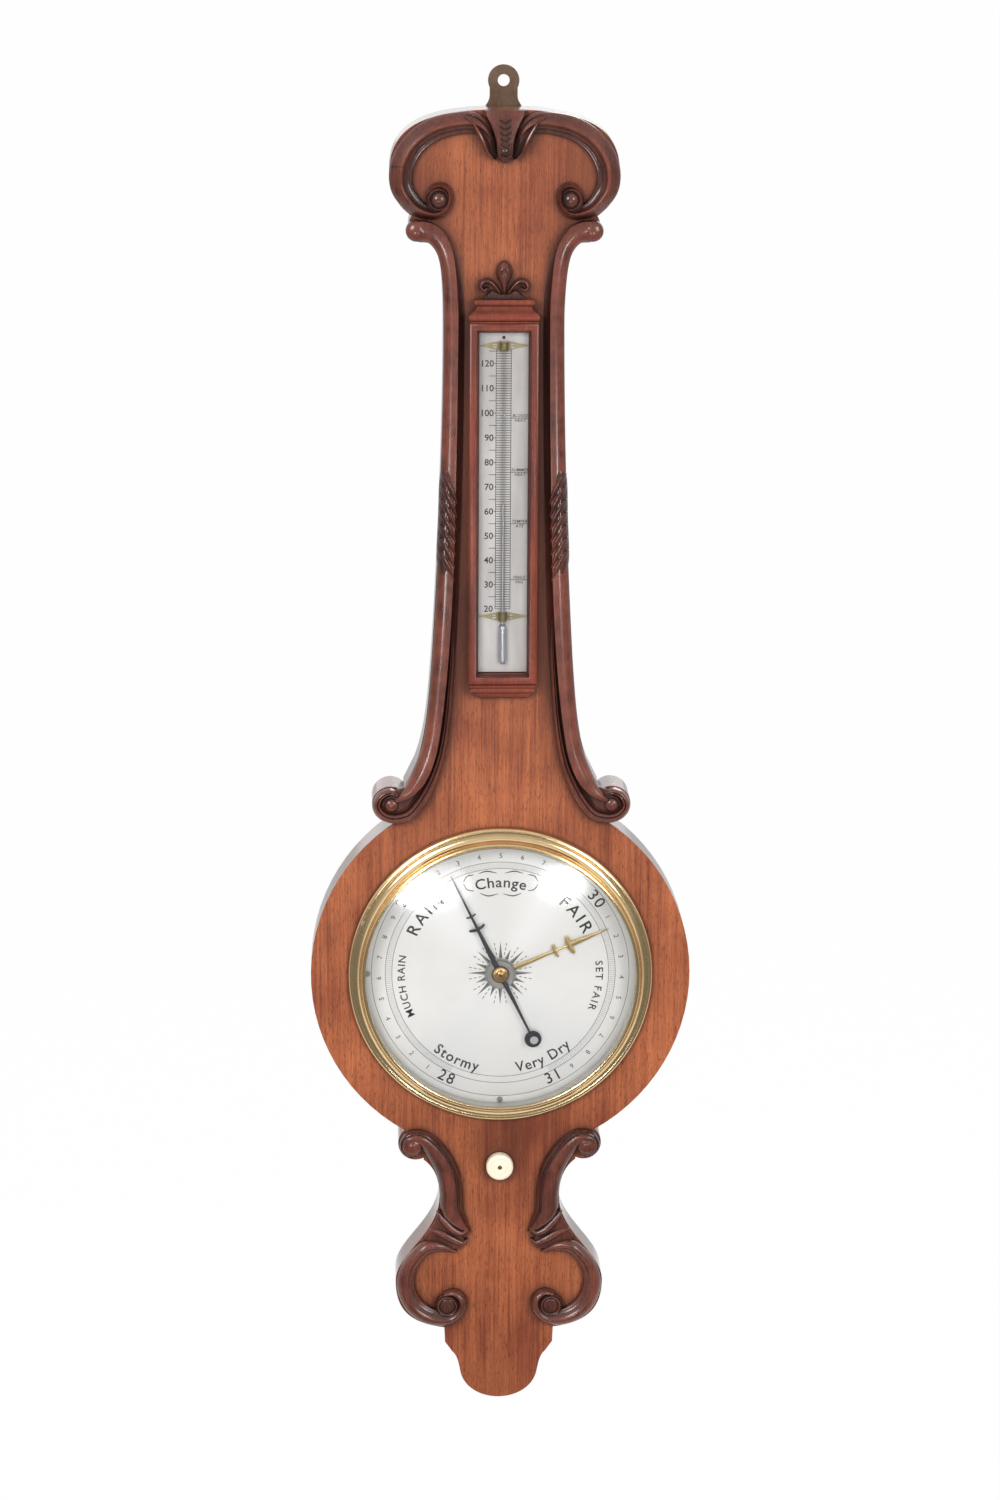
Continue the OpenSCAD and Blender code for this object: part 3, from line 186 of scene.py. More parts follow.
class Tree:
    """A node tree and the one method that adds nodes to it."""

    def __init__(self, nodes):
        self.nodes = nodes

    def add(self, kind, settings=None, sockets=None, out=0):
        node = self.nodes.nodes.new(kind)
        for key, value in (settings or {}).items():
            if key == "stops":
                ramp = node.color_ramp.elements
                while len(ramp) < len(value):
                    ramp.new(0.5)
                for stop, (place, shade) in zip(ramp, value):
                    stop.position = place
                    stop.color = rgba(shade)
            else:
                setattr(node, key, value)
        for key, value in (sockets or {}).items():
            if isinstance(value, Socket):
                self.nodes.links.new(value.out, node.inputs[key])
            else:
                node.inputs[key].default_value = value
        return Socket(self, node.outputs[out]) if len(node.outputs) else node

    def mix(self, share, first, second):
        """A colour between two others."""
        values = [rgba(c) if isinstance(c, (tuple, list)) else c for c in (first, second)]
        kind = "ShaderNodeMix"
        return self.add(kind, {"data_type": "RGBA"}, {0: share, 6: values[0], 7: values[1]}, out=2)

    def noise(self, place, scale, detail=3.0, rough=0.55, bend=0.0):
        sockets = {"Vector": place, "Scale": scale, "Detail": detail, "Roughness": rough, "Distortion": bend}
        return self.add("ShaderNodeTexNoise", {}, sockets)

    def mapped(self, place, scale, turn=(0, 0, 0)):
        return self.add("ShaderNodeMapping", {}, {"Vector": place, "Scale": scale, "Rotation": turn})

    def ramp(self, value, stops):
        return self.add("ShaderNodeValToRGB", {"stops": stops}, {0: value})

    def step(self, value, low, high):
        """0 below low, 1 above high, smooth between."""
        sockets = {0: value, 1: low, 2: high, 3: 0.0, 4: 1.0}
        return self.add("ShaderNodeMapRange", {"interpolation_type": "SMOOTHSTEP"}, sockets)

    def bump(self, height, strength, depth):
        return self.add("ShaderNodeBump", {}, {"Strength": strength, "Distance": depth, "Height": height})

    def parts(self, vector):
        """The three numbers of a vector."""
        node = self.add("ShaderNodeSeparateXYZ", {}, {0: vector}).out.node
        return [Socket(self, out) for out in node.outputs]

    def joined(self, *numbers):
        """A vector of up to three numbers."""
        return self.add("ShaderNodeCombineXYZ", {}, dict(enumerate(numbers)))


class Finish(Tree):
    """A new material with its shader and the place of the shaded point."""

    def __init__(self, name, **constants):
        self.material = bpy.data.materials.new(name)
        self.material.use_nodes = True
        super().__init__(self.material.node_tree)
        self.shader = self.nodes.nodes["Principled BSDF"]
        self.body = Socket(self, self.shader.outputs[0])
        self.output = self.nodes.nodes["Material Output"]
        self.place = self.add("ShaderNodeTexCoord", {}, {}, out="Object")
        for key, value in constants.items():
            self.shader.inputs[key.replace("_", " ")].default_value = value

    def feed(self, **links):
        for key, value in links.items():
            self.nodes.links.new(value.out, self.shader.inputs[key.replace("_", " ")])
        return self.material

    def about(self, height):
        """How far right, up and away a place is from a point on the middle line, in metres."""
        x, _, z = self.parts(self.place)
        upward = z + (HANGER_RISE - height) * MM
        return x, upward, (x * x + upward * upward).math("SQRT")

    def blended(self, share, first, second):
        """The material, with a mix of two shaders shown."""
        both = self.add("ShaderNodeMixShader", {}, {0: share, 1: first, 2: second})
        self.nodes.links.new(both.out, self.output.inputs["Surface"])
        return self.material

    def behind(self):
        """1 on faces that look at the wall, 0 elsewhere."""
        facing = self.add("ShaderNodeNewGeometry", {}, {}, out="Normal")
        return self.step(self.parts(facing)[1], 0.3, 0.7)

    def dirt(self, reach):
        """1 in corners and hollows, 0 in the open: where painted shade and grime darken a finish."""
        return 1.0 - self.add("ShaderNodeAmbientOcclusion", {"samples": 6}, {"Distance": reach}, out="AO")


def blend_colour(a, b, share):
    return tuple(a[k] + (b[k] - a[k]) * share for k in range(3))


def scaled(colour_value, share):
    return tuple(c * share for c in colour_value)


def with_stains(f, shade, deep):
    """A dark stain over the knob, darker wood towards the foot and the sides of the crest and neck, and a
    painted shadow beside the neck mouldings along the thermometer box.
    """
    x, _, z = f.parts(f.place)
    aside = x.math("ABSOLUTE")
    far = f.about(STAIN_HEIGHT)[2] + f.noise(f.place, 60.0, 3.0) * 0.02
    shade = f.mix((1.0 - f.step(far, 0.016, 0.05)) * 0.5, shade, scaled(deep, 0.4))
    shade = f.mix((1.0 - f.step(z, -0.975, -0.9)) * 0.4, shade, scaled(deep, 0.6))
    sides = f.step(aside, 0.012, 0.07) * f.step(z, -0.42, -0.25)
    shade = f.mix(sides * 0.6, shade, scaled(deep, 0.7))
    # Painted shadow of the neck mouldings' coves, on the veneer beside them along the thermometer box.
    along = f.step(z, -0.47, -0.43) * (1.0 - f.step(z, -0.14, -0.1))
    beside = f.step(aside, 0.024, 0.035) * along
    return f.mix(beside * 0.6, shade, scaled(deep, 0.4))


def with_wear(f, shade, pale, deep, worn_and_lit):
    """Pale ridges and dark quirks, after the value kept with the points: partly wear and grime, partly
    painted highlight and painted shade.
    """
    ridge = f.add("ShaderNodeAttribute", {"attribute_name": "wear"}, {}, out="Fac")
    patchy = f.step(f.noise(f.place, 110.0, 3.0), 0.15, 0.85)
    # Ridges paled as wear and painted highlight; hollows darkened as grime and painted shade.
    shade = f.mix(ridge.clamp() * patchy * worn_and_lit, shade, scaled(pale, 1.5))
    return f.mix((ridge * -1.0).clamp(), shade, scaled(deep, 0.45))


def with_crack(f, shade, deep):
    """A thin old crack across the left crest scroll."""
    x, _, z = f.parts(f.place)
    off = (z + f.noise(f.place, 90.0, 3.0) * 0.005 + 0.054).math("ABSOLUTE")
    split = (1.0 - f.step(off, 0.0001, 0.0005)) * (1.0 - f.step(x, -0.0715, -0.068))
    return f.mix(split * 0.85, shade, scaled(deep, 0.15))


def wood(name, pale, deep, grain=0.05, polish=0.3, coat=0.25, sheen=1.5, reach=0.014, grime_and_shade=0.55, worn_and_lit=0.0,
         stained_and_shadowed=False, cracked=False, bare_back=False):
    """Polished wood with figure, upright grain lines, pores, and painted shade with grime in its corners."""
    f = Finish(name, Coat_Weight=coat, Coat_Roughness=0.12, Coat_IOR=sheen, Specular_IOR_Level=0.3)
    run = f.mapped(f.place, (1.0, 1.0, grain))
    figure = f.noise(run, 30.0, 4.0, 0.6, 1.2)
    band = f.noise(run, 150.0, 4.0, 0.65, 0.5)
    lines = f.noise(f.mapped(f.place, (1.0, 1.0, grain * 0.35)), 760.0, 3.0, 0.65)
    pores = f.step(f.noise(f.mapped(f.place, (1.0, 1.0, 0.14)), 1700.0, 1.0, 0.5), 0.58, 0.68)
    cloud = f.noise(f.place, 13.0, 3.0, 0.55)
    tone = figure * 0.22 + band * 0.16 + lines * 0.27 + cloud * 0.38 - 0.015
    middle = blend_colour(deep, pale, 0.5)
    shade = f.ramp(tone, [(0.3, scaled(deep, 0.75)), (0.42, deep), (0.52, middle), (0.64, pale),
                          (0.82, scaled(pale, 1.15))])
    shade = f.mix(pores * 0.5, shade, scaled(deep, 0.4))
    # Painted shade with grime: darker and rougher in corners and hollows.
    soil_and_shade = f.step(f.dirt(reach), 0.05, 0.5) * grime_and_shade
    shade = f.mix(soil_and_shade, shade, scaled(deep, 0.25))
    if stained_and_shadowed:
        shade = with_stains(f, shade, deep)
    if worn_and_lit:
        shade = with_wear(f, shade, pale, deep, worn_and_lit)
    if cracked:
        shade = with_crack(f, shade, deep)
    rough = (lines * 0.1 + cloud * 0.12 + polish - 0.11 + soil_and_shade * 0.2).clamp()
    if bare_back:
        behind = f.behind()
        shade = f.mix(behind * 0.5, shade, srgb(128, 88, 60))
        rough = (rough + behind * 0.5).clamp()
        f.feed(Coat_Weight=(1.0 - behind) * coat)
    height = lines * 0.5 - pores * 0.8 + band * 0.25
    return f.feed(Base_Color=shade, Roughness=rough, Normal=f.bump(height, 0.1 if worn_and_lit else 0.18, 0.0004))


def metal(name, bright, dull, rough=0.2, tarnish=0.5, scratch=0.12, turned=False, share=1.0):
    """Metal with tarnish, fine scratches or turning lines, and painted shade with dirt in its corners."""
    f = Finish(name, Metallic=share)
    cloud = f.noise(f.place, 55.0, 4.0, 0.6)
    speck = f.noise(f.place, 420.0, 3.0, 0.65)
    if turned:
        marks = f.noise(f.joined(f.about(0.0)[2], f.parts(f.place)[1]), 700.0, 2.0, 0.5)
    else:
        marks = f.noise(f.mapped(f.place, (1.0, 1.0, 0.08), (0.4, 0.3, 0.9)), 1100.0, 2.0, 0.6)
    # Painted shade with dirt: corners and hollows darken into the tarnish.
    soil_and_shade = f.step(f.dirt(0.004), 0.15, 0.8)
    tarnish_and_shade = (f.step(cloud + speck * 0.35, 0.5, 0.95) * tarnish + soil_and_shade * 0.7).clamp()
    shade = f.mix(tarnish_and_shade, bright, dull)
    gloss = (marks * scratch + cloud * 0.1 + tarnish_and_shade * 0.22 + rough - 0.08).clamp()
    return f.feed(Base_Color=shade, Roughness=gloss, Normal=f.bump(marks, scratch * 0.5, 0.0001))


def silvering(name, bright, turned=False):
    """Silvered brass: matt and slightly yellowed. Turned, it has painted fans of sheen and a lower half
    painted lighter; otherwise it is brushed upright with painted sheen streaks.
    """
    f = Finish(name, Metallic=0.08, Specular_IOR_Level=0.4)
    cloud = f.noise(f.place, 26.0, 4.0, 0.6)
    speck = f.step(f.noise(f.place, 480.0, 2.0, 0.6), 0.63, 0.75)
    if turned:
        across, upward, radius = f.about(0.0)
        marks = f.noise(f.joined(radius), 1700.0, 2.0, 0.6)
        angle = across.math("ARCTAN2", upward)
        # Painted sheen: fans of reflected light, set by the angle round the centre.
        painted_fans = [(angle - turn).math("COSINE").math("ABSOLUTE") ** 14.0 for turn in (0.56, -0.7)]
        sheen = (painted_fans[0] + painted_fans[1]) * f.step(radius, 0.008, 0.03)
        # Painted light: the lower half of the dial is lighter.
        brightening = 1.0 - f.step(upward, -0.07, 0.08)
    else:
        marks = f.noise(f.mapped(f.place, (1.0, 1.0, 0.03)), 900.0, 2.0, 0.6)
        # Painted sheen: streaks of reflected light along the brushing.
        sheen = f.noise(f.mapped(f.place, (1.0, 1.0, 0.2)), 60.0, 2.0)
        brightening = 0.35
    yellow = blend_colour(bright, srgb(214, 206, 186), 0.5)
    plain = f.mix(brightening, scaled(bright, 0.83), scaled(bright, 1.18))
    shade = f.mix(f.step(cloud, 0.35, 0.8) * 0.4, plain, yellow)
    shade = f.mix(sheen * 0.75, shade, blend_colour(bright, (1.0, 1.0, 1.0), 0.85))
    shade = f.mix(speck * 0.12, shade, srgb(140, 134, 122))
    # Painted shade with dirt in corners and hollows.
    shade = f.mix(f.step(f.dirt(0.006), 0.2, 0.9) * 0.5, shade, srgb(104, 98, 86))
    shade = f.mix(f.behind() * 0.9, shade, srgb(152, 122, 70))
    rough = (marks * 0.2 + cloud * 0.12 + 0.3 - sheen * 0.06).clamp()
    return f.feed(Base_Color=shade, Roughness=rough, Normal=f.bump(marks, 0.1, 0.0002))


def clear_glass(name, tint, haze, shine):
    """Thin clear glass: what lies behind shows, with reflections that grow towards its edge."""
    f = Finish(name, Metallic=1.0)
    dust = f.step(f.noise(f.place, 260.0, 4.0, 0.7), 0.62, 0.85)
    smear = f.noise(f.mapped(f.place, (1.0, 1.0, 0.4), (0.2, 0.5, 0.3)), 24.0, 3.0)
    shade = f.mix(dust * 0.3, tint, scaled(tint, 0.8))
    f.feed(Base_Color=shade, Roughness=smear * 0.05 + haze)
    facing = f.add("ShaderNodeFresnel", {}, {"IOR": 1.5})
    share = ((facing * shine) + dust * 0.02).clamp()
    see = f.add("ShaderNodeBsdfTransparent", {}, {"Color": rgba(blend_colour(tint, (1, 1, 1), 0.85))})
    return f.blended(share, see, f.body)


def wax(name, shade):
    """Black wax in engraved lines, slightly rubbed."""
    f = Finish(name)
    rub = f.step(f.noise(f.place, 320.0, 3.0, 0.6), 0.45, 0.8)
    patch = f.step(f.noise(f.place, 45.0, 2.0), 0.4, 0.75)
    mixed = f.mix(rub * 0.35 + patch * 0.2, shade, srgb(112, 110, 106))
    return f.feed(Base_Color=mixed, Roughness=rub * 0.2 + 0.5)


def bone_finish(name, shade):
    """Turned bone with fine turning rings, faint grain, and painted shade with yellowing in its grooves."""
    f = Finish(name, Coat_Weight=0.25, Coat_Roughness=0.2)
    rings = f.noise(f.joined(f.about(KNOB_HEIGHT)[2]), 1900.0, 2.0, 0.5)
    grain = f.noise(f.mapped(f.place, (1.0, 1.0, 0.1)), 700.0, 2.0)
    # Painted shade with yellowing in the grooves.
    soil_and_shade = f.step(f.dirt(0.003), 0.15, 0.8)
    mixed = f.mix(grain * 0.35, shade, srgb(224, 206, 168))
    mixed = f.mix(soil_and_shade * 0.7, mixed, srgb(150, 112, 70))
    return f.feed(Base_Color=mixed, Roughness=rings * 0.15 + 0.28, Normal=f.bump(rings, 0.12, 0.0003))


def cord_finish(name):
    """Twisted waxed cord."""
    f = Finish(name, Sheen_Weight=0.3)
    diagonal = {"bands_direction": "DIAGONAL"}
    twist = f.add("ShaderNodeTexWave", diagonal, {"Vector": f.place, "Scale": 900.0}, out=1)
    fuzz = f.noise(f.place, 2200.0, 2.0)
    mixed = f.mix(twist * 0.6 + fuzz * 0.3, srgb(132, 116, 86), srgb(84, 70, 50))
    return f.feed(Base_Color=mixed, Roughness=fuzz * 0.2 + 0.7, Normal=f.bump(twist, 0.5, 0.0003))


def quicksilver(name):
    """Liquid metal with a faint skin."""
    f = Finish(name, Metallic=0.7)
    skin = f.step(f.noise(f.place, 180.0, 3.0), 0.5, 0.8)
    mixed = f.mix(skin * 0.4, srgb(206, 208, 214), srgb(158, 160, 170))
    return f.feed(Base_Color=mixed, Roughness=skin * 0.12 + 0.28)


FINISHES = {}
GREY_SCREWS = ["clip_screws", "dial_screws", "bezel_pins"]


def make_finishes(c):
    """All finishes, by the record's material slot or by a name of their own."""
    woods = {
        "case_wood": wood("polished case wood", srgb(150, 80, 54), srgb(84, 40, 30), polish=0.18, coat=1.0,
                          sheen=1.9, bare_back=True),
        "front_veneer": wood("front veneer", c.veneer_pale[:], c.veneer_deep[:], polish=0.36, reach=0.036,
                             grime_and_shade=0.85, stained_and_shadowed=True),
        "carving": wood("carved wood", c.carving_pale[:], c.carving_deep[:], grain=0.12, coat=0.45, sheen=1.6,
                        reach=0.007, grime_and_shade=0.85, worn_and_lit=0.75, cracked=True),
        "box_wood": wood("thermometer box wood", c.box_pale[:], c.box_deep[:], coat=0.1, reach=0.005,
                         grime_and_shade=0.7, worn_and_lit=0.3),
        "inner_wood": wood("plain backing wood", c.back_pale[:], c.back_deep[:], polish=0.55, coat=0.0),
    }
    metals = {
        "bezel_brass": metal("polished brass", c.brass[:], c.brass_dull[:], 0.16, 0.18, 0.02, True, 0.95),
        "clip_brass": metal("lacquered brass", srgb(170, 156, 116), srgb(120, 108, 78), 0.34, share=0.8),
        "movement_brass": metal("satin brass", srgb(190, 156, 92), srgb(126, 98, 56), 0.3),
        "hand_brass": metal("polished hand brass", srgb(214, 188, 128), srgb(168, 140, 86), 0.34, 0.3),
        "collet_brass": metal("collet brass", srgb(222, 184, 124), srgb(160, 124, 76), 0.26, 0.3),
        "hanger_bronze": metal("aged bronze", c.bronze[:], srgb(84, 66, 56), 0.45, 0.7, 0.2, share=0.8),
        "blued_steel": metal("blued steel", c.steel[:], srgb(36, 36, 40), 0.3, 0.4, share=0.6),
        "boss_grey": metal("grey boss metal", srgb(206, 204, 198), srgb(140, 138, 130), 0.3, 0.4, 0.1, True),
        "screw_grey": metal("grey screw metal", srgb(196, 192, 182), srgb(120, 112, 98), 0.34, 0.5),
        "scale_silver": silvering("silvered scale", srgb(151, 142, 138)),
        "sight_silver": silvering("silvered sight ring", srgb(196, 192, 182)),
        "dial_silver": silvering("silvered dial", c.silver[:], True),
        "mercury": quicksilver("quicksilver"),
    }
    glasses = {
        "box_glass": clear_glass("thermometer pane", (0.95, 0.96, 0.96), 0.05, 0.35),
        "thermo_glass": clear_glass("thermometer tube glass", (0.97, 0.98, 0.99), 0.03, 0.03),
        "dial_glass": clear_glass("domed glass", (0.98, 0.98, 0.98), 0.05, 0.9),
        "tube_glass": clear_glass("siphon glass", (0.92, 0.95, 0.94), 0.03, 1.0),
    }
    others = {
        "cord": cord_finish("waxed cord"),
        "bone": bone_finish("turned bone", c.bone[:]),
        "wax": wax("engraver's wax", c.ink[:]),
        "wax_grey": wax("thin wax", srgb(92, 92, 92)),
        "wax_pale": wax("rubbed wax", srgb(150, 149, 146)),
    }
    FINISHES.update({**woods, **metals, **glasses, **others})


# Shapes in face millimetres: u to the right, v up from the dial's centre, w out from the wall

class Shape:
    """Points, faces and how worn each point is, with painted highlight and shade in the same value."""

    def __init__(self):
        self.points = []
        self.faces = []
        self.wear = []

    def add(self, points, faces, wear=None):
        first = len(self.points)
        self.points.extend(points)
        self.faces.extend([[first + k for k in face] for face in faces])
        self.wear.extend(wear or [0.0] * len(points))
        return self

    def join(self, other, flip=False):
        """Takes in another shape, mirrored to the left where flip is set."""
        side = -1 if flip else 1
        return self.add([(side * u, v, w) for u, v, w in other.points], other.faces, other.wear)

    def mirrored(self):
        return Shape().join(self, True)


def mesh_of(name, shape):
    """A shape as a closed mesh in the row frame, with the wear and painted light of its points."""
    mesh = bpy.data.meshes.new(name)
    built = bmesh.new()
    layer = built.verts.layers.float.new("wear")
    corners = []
    for point, worn_and_lit in zip(shape.points, shape.wear):
        corner = built.verts.new(FACE @ Vector(point))
        corner[layer] = worn_and_lit
        corners.append(corner)
    for face in shape.faces:
        built.faces.new([corners[k] for k in face])
    bmesh.ops.remove_doubles(built, verts=built.verts, dist=1e-6)
    bmesh.ops.dissolve_degenerate(built, dist=1e-7, edges=built.edges)
    bmesh.ops.recalc_face_normals(built, faces=built.faces)
    built.to_mesh(mesh)
    built.free()
    if not mesh.polygons:
        raise RuntimeError(name + " has no faces")
    return mesh


def piece(name, shape, slot, body="case", replaces=(), finish=None, sharp=38.0):
    """A shape as an object that rides on its body, or stands on its own where a tuple is given instead."""
    mesh = mesh_of(name, shape)
    mesh.shade_smooth()
    mesh.set_sharp_from_angle(angle=math.radians(sharp))
    mesh.materials.append(FINISHES[finish or slot])
    made = bpy.data.objects.new(name, mesh)
    bpy.context.scene.collection.objects.link(made)
    if isinstance(body, tuple):
        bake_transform(made)
    else:
        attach(made, body)
    if replaces:
        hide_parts(*replaces)


def both_sides(name, shape):
    """A carving on the right and its mirror image on the left."""
    piece(name + "_right_carved", shape, "carving", replaces=[name + "_right"])
    piece(name + "_left_carved", shape.mirrored(), "carving", replaces=[name + "_left"])


def skin(rows, width, closed=False, looped=True):
    """Faces between neighbouring rows of so many points.

    A closed run joins its last row to its first, and a looped row its last point to its first."""
    faces = []
    for i in range(rows if closed else rows - 1):
        j = (i + 1) % rows
        for k in range(width if looped else width - 1):
            m = (k + 1) % width
            faces.append([i * width + k, i * width + m, j * width + m, j * width + k])
    return faces


def capped(rows, width):
    """Faces of an open run of rows, with its first and last row filled."""
    last = (rows - 1) * width
    return skin(rows, width) + [list(range(width)), list(range(last, last + width))]


def smooth_run(points, per_span):
    """Rows on a smooth curve through the given rows of numbers."""
    rows = [points[0], *points, points[-1]]
    out = []
    for a, b, c, d in zip(rows, rows[1:], rows[2:], rows[3:]):
        for k in range(per_span):
            t = k / per_span
            out.append([0.5 * (2 * q + (r - p) * t + (2 * p - 5 * q + 4 * r - s) * t * t
                               + (3 * q - p - 3 * r + s) * t ** 3) for p, q, r, s in zip(a, b, c, d)])
    out.append(list(points[-1]))
    return out


def strand(points, profile, rise, base=FRONT, per_span=8, caps=(4, 4)):
    """A carved strand along [u, v, width, height] rows with rounded ends of so many steps.

    The profile has (side, height, wear and painted light) rows, from the left of the run to its right."""
    rows = smooth_run(points, per_span)
    frames = []
    for i, (u, v, width, high) in enumerate(rows):
        before = rows[max(i - 1, 0)]
        after = rows[min(i + 1, len(rows) - 1)]
        along = Vector((after[0] - before[0], after[1] - before[1])).normalized()
        frames.append((u, v, width, high, along))
    for tip, way, steps in ((frames[0], -1, caps[0]), (frames[-1], 1, caps[1])):
        for k in range(1, steps + 1):
            a = math.pi / 2 * k / (steps + 0.3)
            reach = way * tip[2] / 2 * math.sin(a)
            row = (tip[0] + tip[4].x * reach, tip[1] + tip[4].y * reach, tip[2] * math.cos(a),
                   tip[3] * (0.35 + 0.65 * math.cos(a)), tip[4])
            frames.insert(0 if way < 0 else len(frames), row)
    pts, wear = [], []
    for u, v, width, high, along in frames:
        for side, z, worn_and_lit in profile:
            reach = side * width / 2
            pts.append((u - along.y * reach, v + along.x * reach, base + z * high * rise))
            wear.append(worn_and_lit)
    return Shape().add(pts, capped(len(frames), len(profile)), wear)


def lathe(profile, centre=(0.0, 0.0), steps=144):
    """A closed profile of (radius, w) rows turned about the viewing direction."""
    pts = []
    for i in range(steps):
        a = 2 * math.pi * i / steps
        pts += [(centre[0] + r * math.sin(a), centre[1] + r * math.cos(a), w) for r, w in profile]
    return Shape().add(pts, skin(steps, len(profile), True))


def upright(profile, w, steps=32):
    """A profile of (radius, v) rows turned about an upright line in the middle of the case."""
    pts = []
    for i in range(steps):
        a = 2 * math.pi * i / steps
        pts += [(r * math.sin(a), v, w + r * math.cos(a)) for r, v in profile]
    return Shape().add(pts, skin(steps, len(profile), True, False))


def arc(centre_r, centre_w, radius, first, last, count):
    """Profile points on an arc, with angles in degrees from outwards."""
    out = []
    for k in range(count + 1):
        a = math.radians(first + (last - first) * k / count)
        out.append((centre_r + radius * math.cos(a), centre_w + radius * math.sin(a)))
    return out


def boss(u, v, radius, rise):
    """A round carved eye on the wooden front."""
    profile = [(0.0, FRONT), (radius, FRONT), (radius, FRONT + rise * 0.55)]
    for k in range(1, 7):
        a = math.pi / 2 * k / 6
        profile.append((radius * math.cos(a), FRONT + rise * (0.55 + 0.45 * math.sin(a))))
    shape = lathe(profile, (u, v), 40)
    # The crown is paler: partly wear, partly painted highlight.
    shape.wear = [0.55 if w > FRONT + rise * 0.8 else 0.1 for _, _, w in shape.points]
    return shape


def dish(u, v, radius, rise, share=0.56, top=1.0):
    """A ball or a flat button in the middle of a volute, with turned rings round it."""
    rows = [(share, 0.58), (share + 0.04, 0.58), (0.7, 0.72), (0.76, 0.76), (0.83, 0.7), (0.87, 0.6),
            (0.93, 0.64), (1.0, 0.5), (1.0, -0.05)]
    bend = [math.pi / 16 * k for k in range(9)]
    ball = [(share * math.sin(a), 0.6 + (top - 0.6) * math.cos(a)) for a in bend]
    profile = [(r * radius, FRONT + z * rise) for r, z in [(0.0, -0.05)] + ball + rows]
    shape = lathe(profile[::-1], (u, v), 48)
    floor, pits = FRONT + 0.4 * rise, FRONT + 0.585 * rise
    crown = FRONT + (0.2 + 0.8 * top) * rise
    # A paler crown, partly wear and partly painted highlight, and painted shade with grime in the pit round
    # the ball.
    shape.wear = [0.7 if w > crown else -0.5 if floor < w < pits else 0.0 for _, _, w in shape.points]
    return shape


def extruded(outline, low, high):
    """A flat outline of (u, v) points between two depths."""
    pts = [(u, v, w) for w in (low, high) for u, v in outline]
    return Shape().add(pts, capped(2, len(outline)))


def bevelled(outline, rise, edge):
    """A flat pad on the wooden front with a small chamfer on its front edge."""
    n = len(outline)
    inner = []
    for k in range(n):
        p, q, r = Vector(outline[k - 1]), Vector(outline[k]), Vector(outline[(k + 1) % n])
        a = (q - p).normalized()
        b = (r - q).normalized()
        inward = Vector((-(a + b).y, (a + b).x))
        inward = inward.normalized() if inward.length > 1e-6 else Vector((-a.y, a.x))
        inner.append((q + inward * edge)[:])
    pts = [(u, v, w) for w in (FRONT, FRONT + rise - edge) for u, v in outline]
    pts += [(u, v, FRONT + rise) for u, v in inner]
    return Shape().add(pts, capped(3, n))


def lettering(text, size, turn, depth, shear=0.0, spacing=1.0, align="CENTER", bold=0.0):
    """A word as a thin solid that stands on a face at a depth. turn places each of its (x, y) points."""
    word = bpy.data.curves.new("word", "FONT")
    word.body = text
    word.size = size
    word.align_x = align
    word.shear = shear
    word.space_character = spacing
    word.extrude = INK / 2
    word.offset = bold
    word.resolution_u = 3
    holder = bpy.data.objects.new("word", word)
    shape = evaluated(holder)
    shape.points = [(*turn(x, y), z + INK / 2 + depth) for x, y, z in shape.points]
    bpy.data.curves.remove(word)
    return shape


def evaluated(holder):
    """The finished mesh of an object as a shape. The object is removed."""
    bpy.context.scene.collection.objects.link(holder)
    graph = bpy.context.evaluated_depsgraph_get()
    made = bpy.data.meshes.new_from_object(holder.evaluated_get(graph))
    shape = Shape().add([p.co[:] for p in made.vertices], [list(p.vertices) for p in made.polygons])
    bpy.data.objects.remove(holder)
    bpy.data.meshes.remove(made)
    return shape


# Geometry Nodes for engraved lines

def node_group(name, numbers):
    """A group with a count, some numbers and a material as its inputs."""
    group = bpy.data.node_groups.new(name, "GeometryNodeTree")
    inputs = [("Geometry", "Geometry"), ("Count", "Int"), *((label, "Float") for label in numbers),
              ("Material", "Material")]
    for label, kind in inputs:
        group.interface.new_socket(label, in_out="INPUT", socket_type="NodeSocket" + kind)
    group.interface.new_socket("Geometry", in_out="OUTPUT", socket_type="NodeSocketGeometry")
    tree = Tree(group)
    given = group.nodes.new("NodeGroupInput")
    return tree, lambda label: Socket(tree, given.outputs[label])


def bars_at(tree, given, spot, size, turn):
    """Ends a group with bars of one size, each at its own spot and turned about the viewing direction."""
    line = tree.add("GeometryNodeMeshLine", {}, {"Count": given("Count")})
    points = tree.add("GeometryNodeSetPosition", {}, {"Geometry": line, "Position": tree.joined(*spot)})
    bar = tree.add("GeometryNodeMeshCube", {}, {"Size": tree.joined(*size)})
    turned = tree.add("FunctionNodeEulerToRotation", {}, {0: tree.joined(0.0, 0.0, turn)})
    sockets = {"Points": points, "Instance": bar, "Rotation": turned}
    bars = tree.add("GeometryNodeInstanceOnPoints", {}, sockets)
    real = tree.add("GeometryNodeRealizeInstances", {}, {0: bars})
    done = tree.add("GeometryNodeSetMaterial", {}, {"Geometry": real, "Material": given("Material")})
    tree.add("NodeGroupOutput", {}, {0: done})
    return tree.nodes


def bar_ring():
    """Engraved bars that point at the dial's centre, from a first angle on, clockwise from the top."""
    numbers = ["First angle", "Step", "Inner radius", "Outer radius", "Width", "Depth"]
    tree, given = node_group("ring of engraved bars", numbers)
    angle = given("First angle") + tree.add("GeometryNodeInputIndex") * given("Step")
    inner, outer = given("Inner radius"), given("Outer radius")
    middle = (inner + outer) * 0.5
    spot = (angle.math("SINE") * middle, angle.math("COSINE") * middle, given("Depth"))
    return bars_at(tree, given, spot, (given("Width"), outer - inner, INK), angle * -1.0)


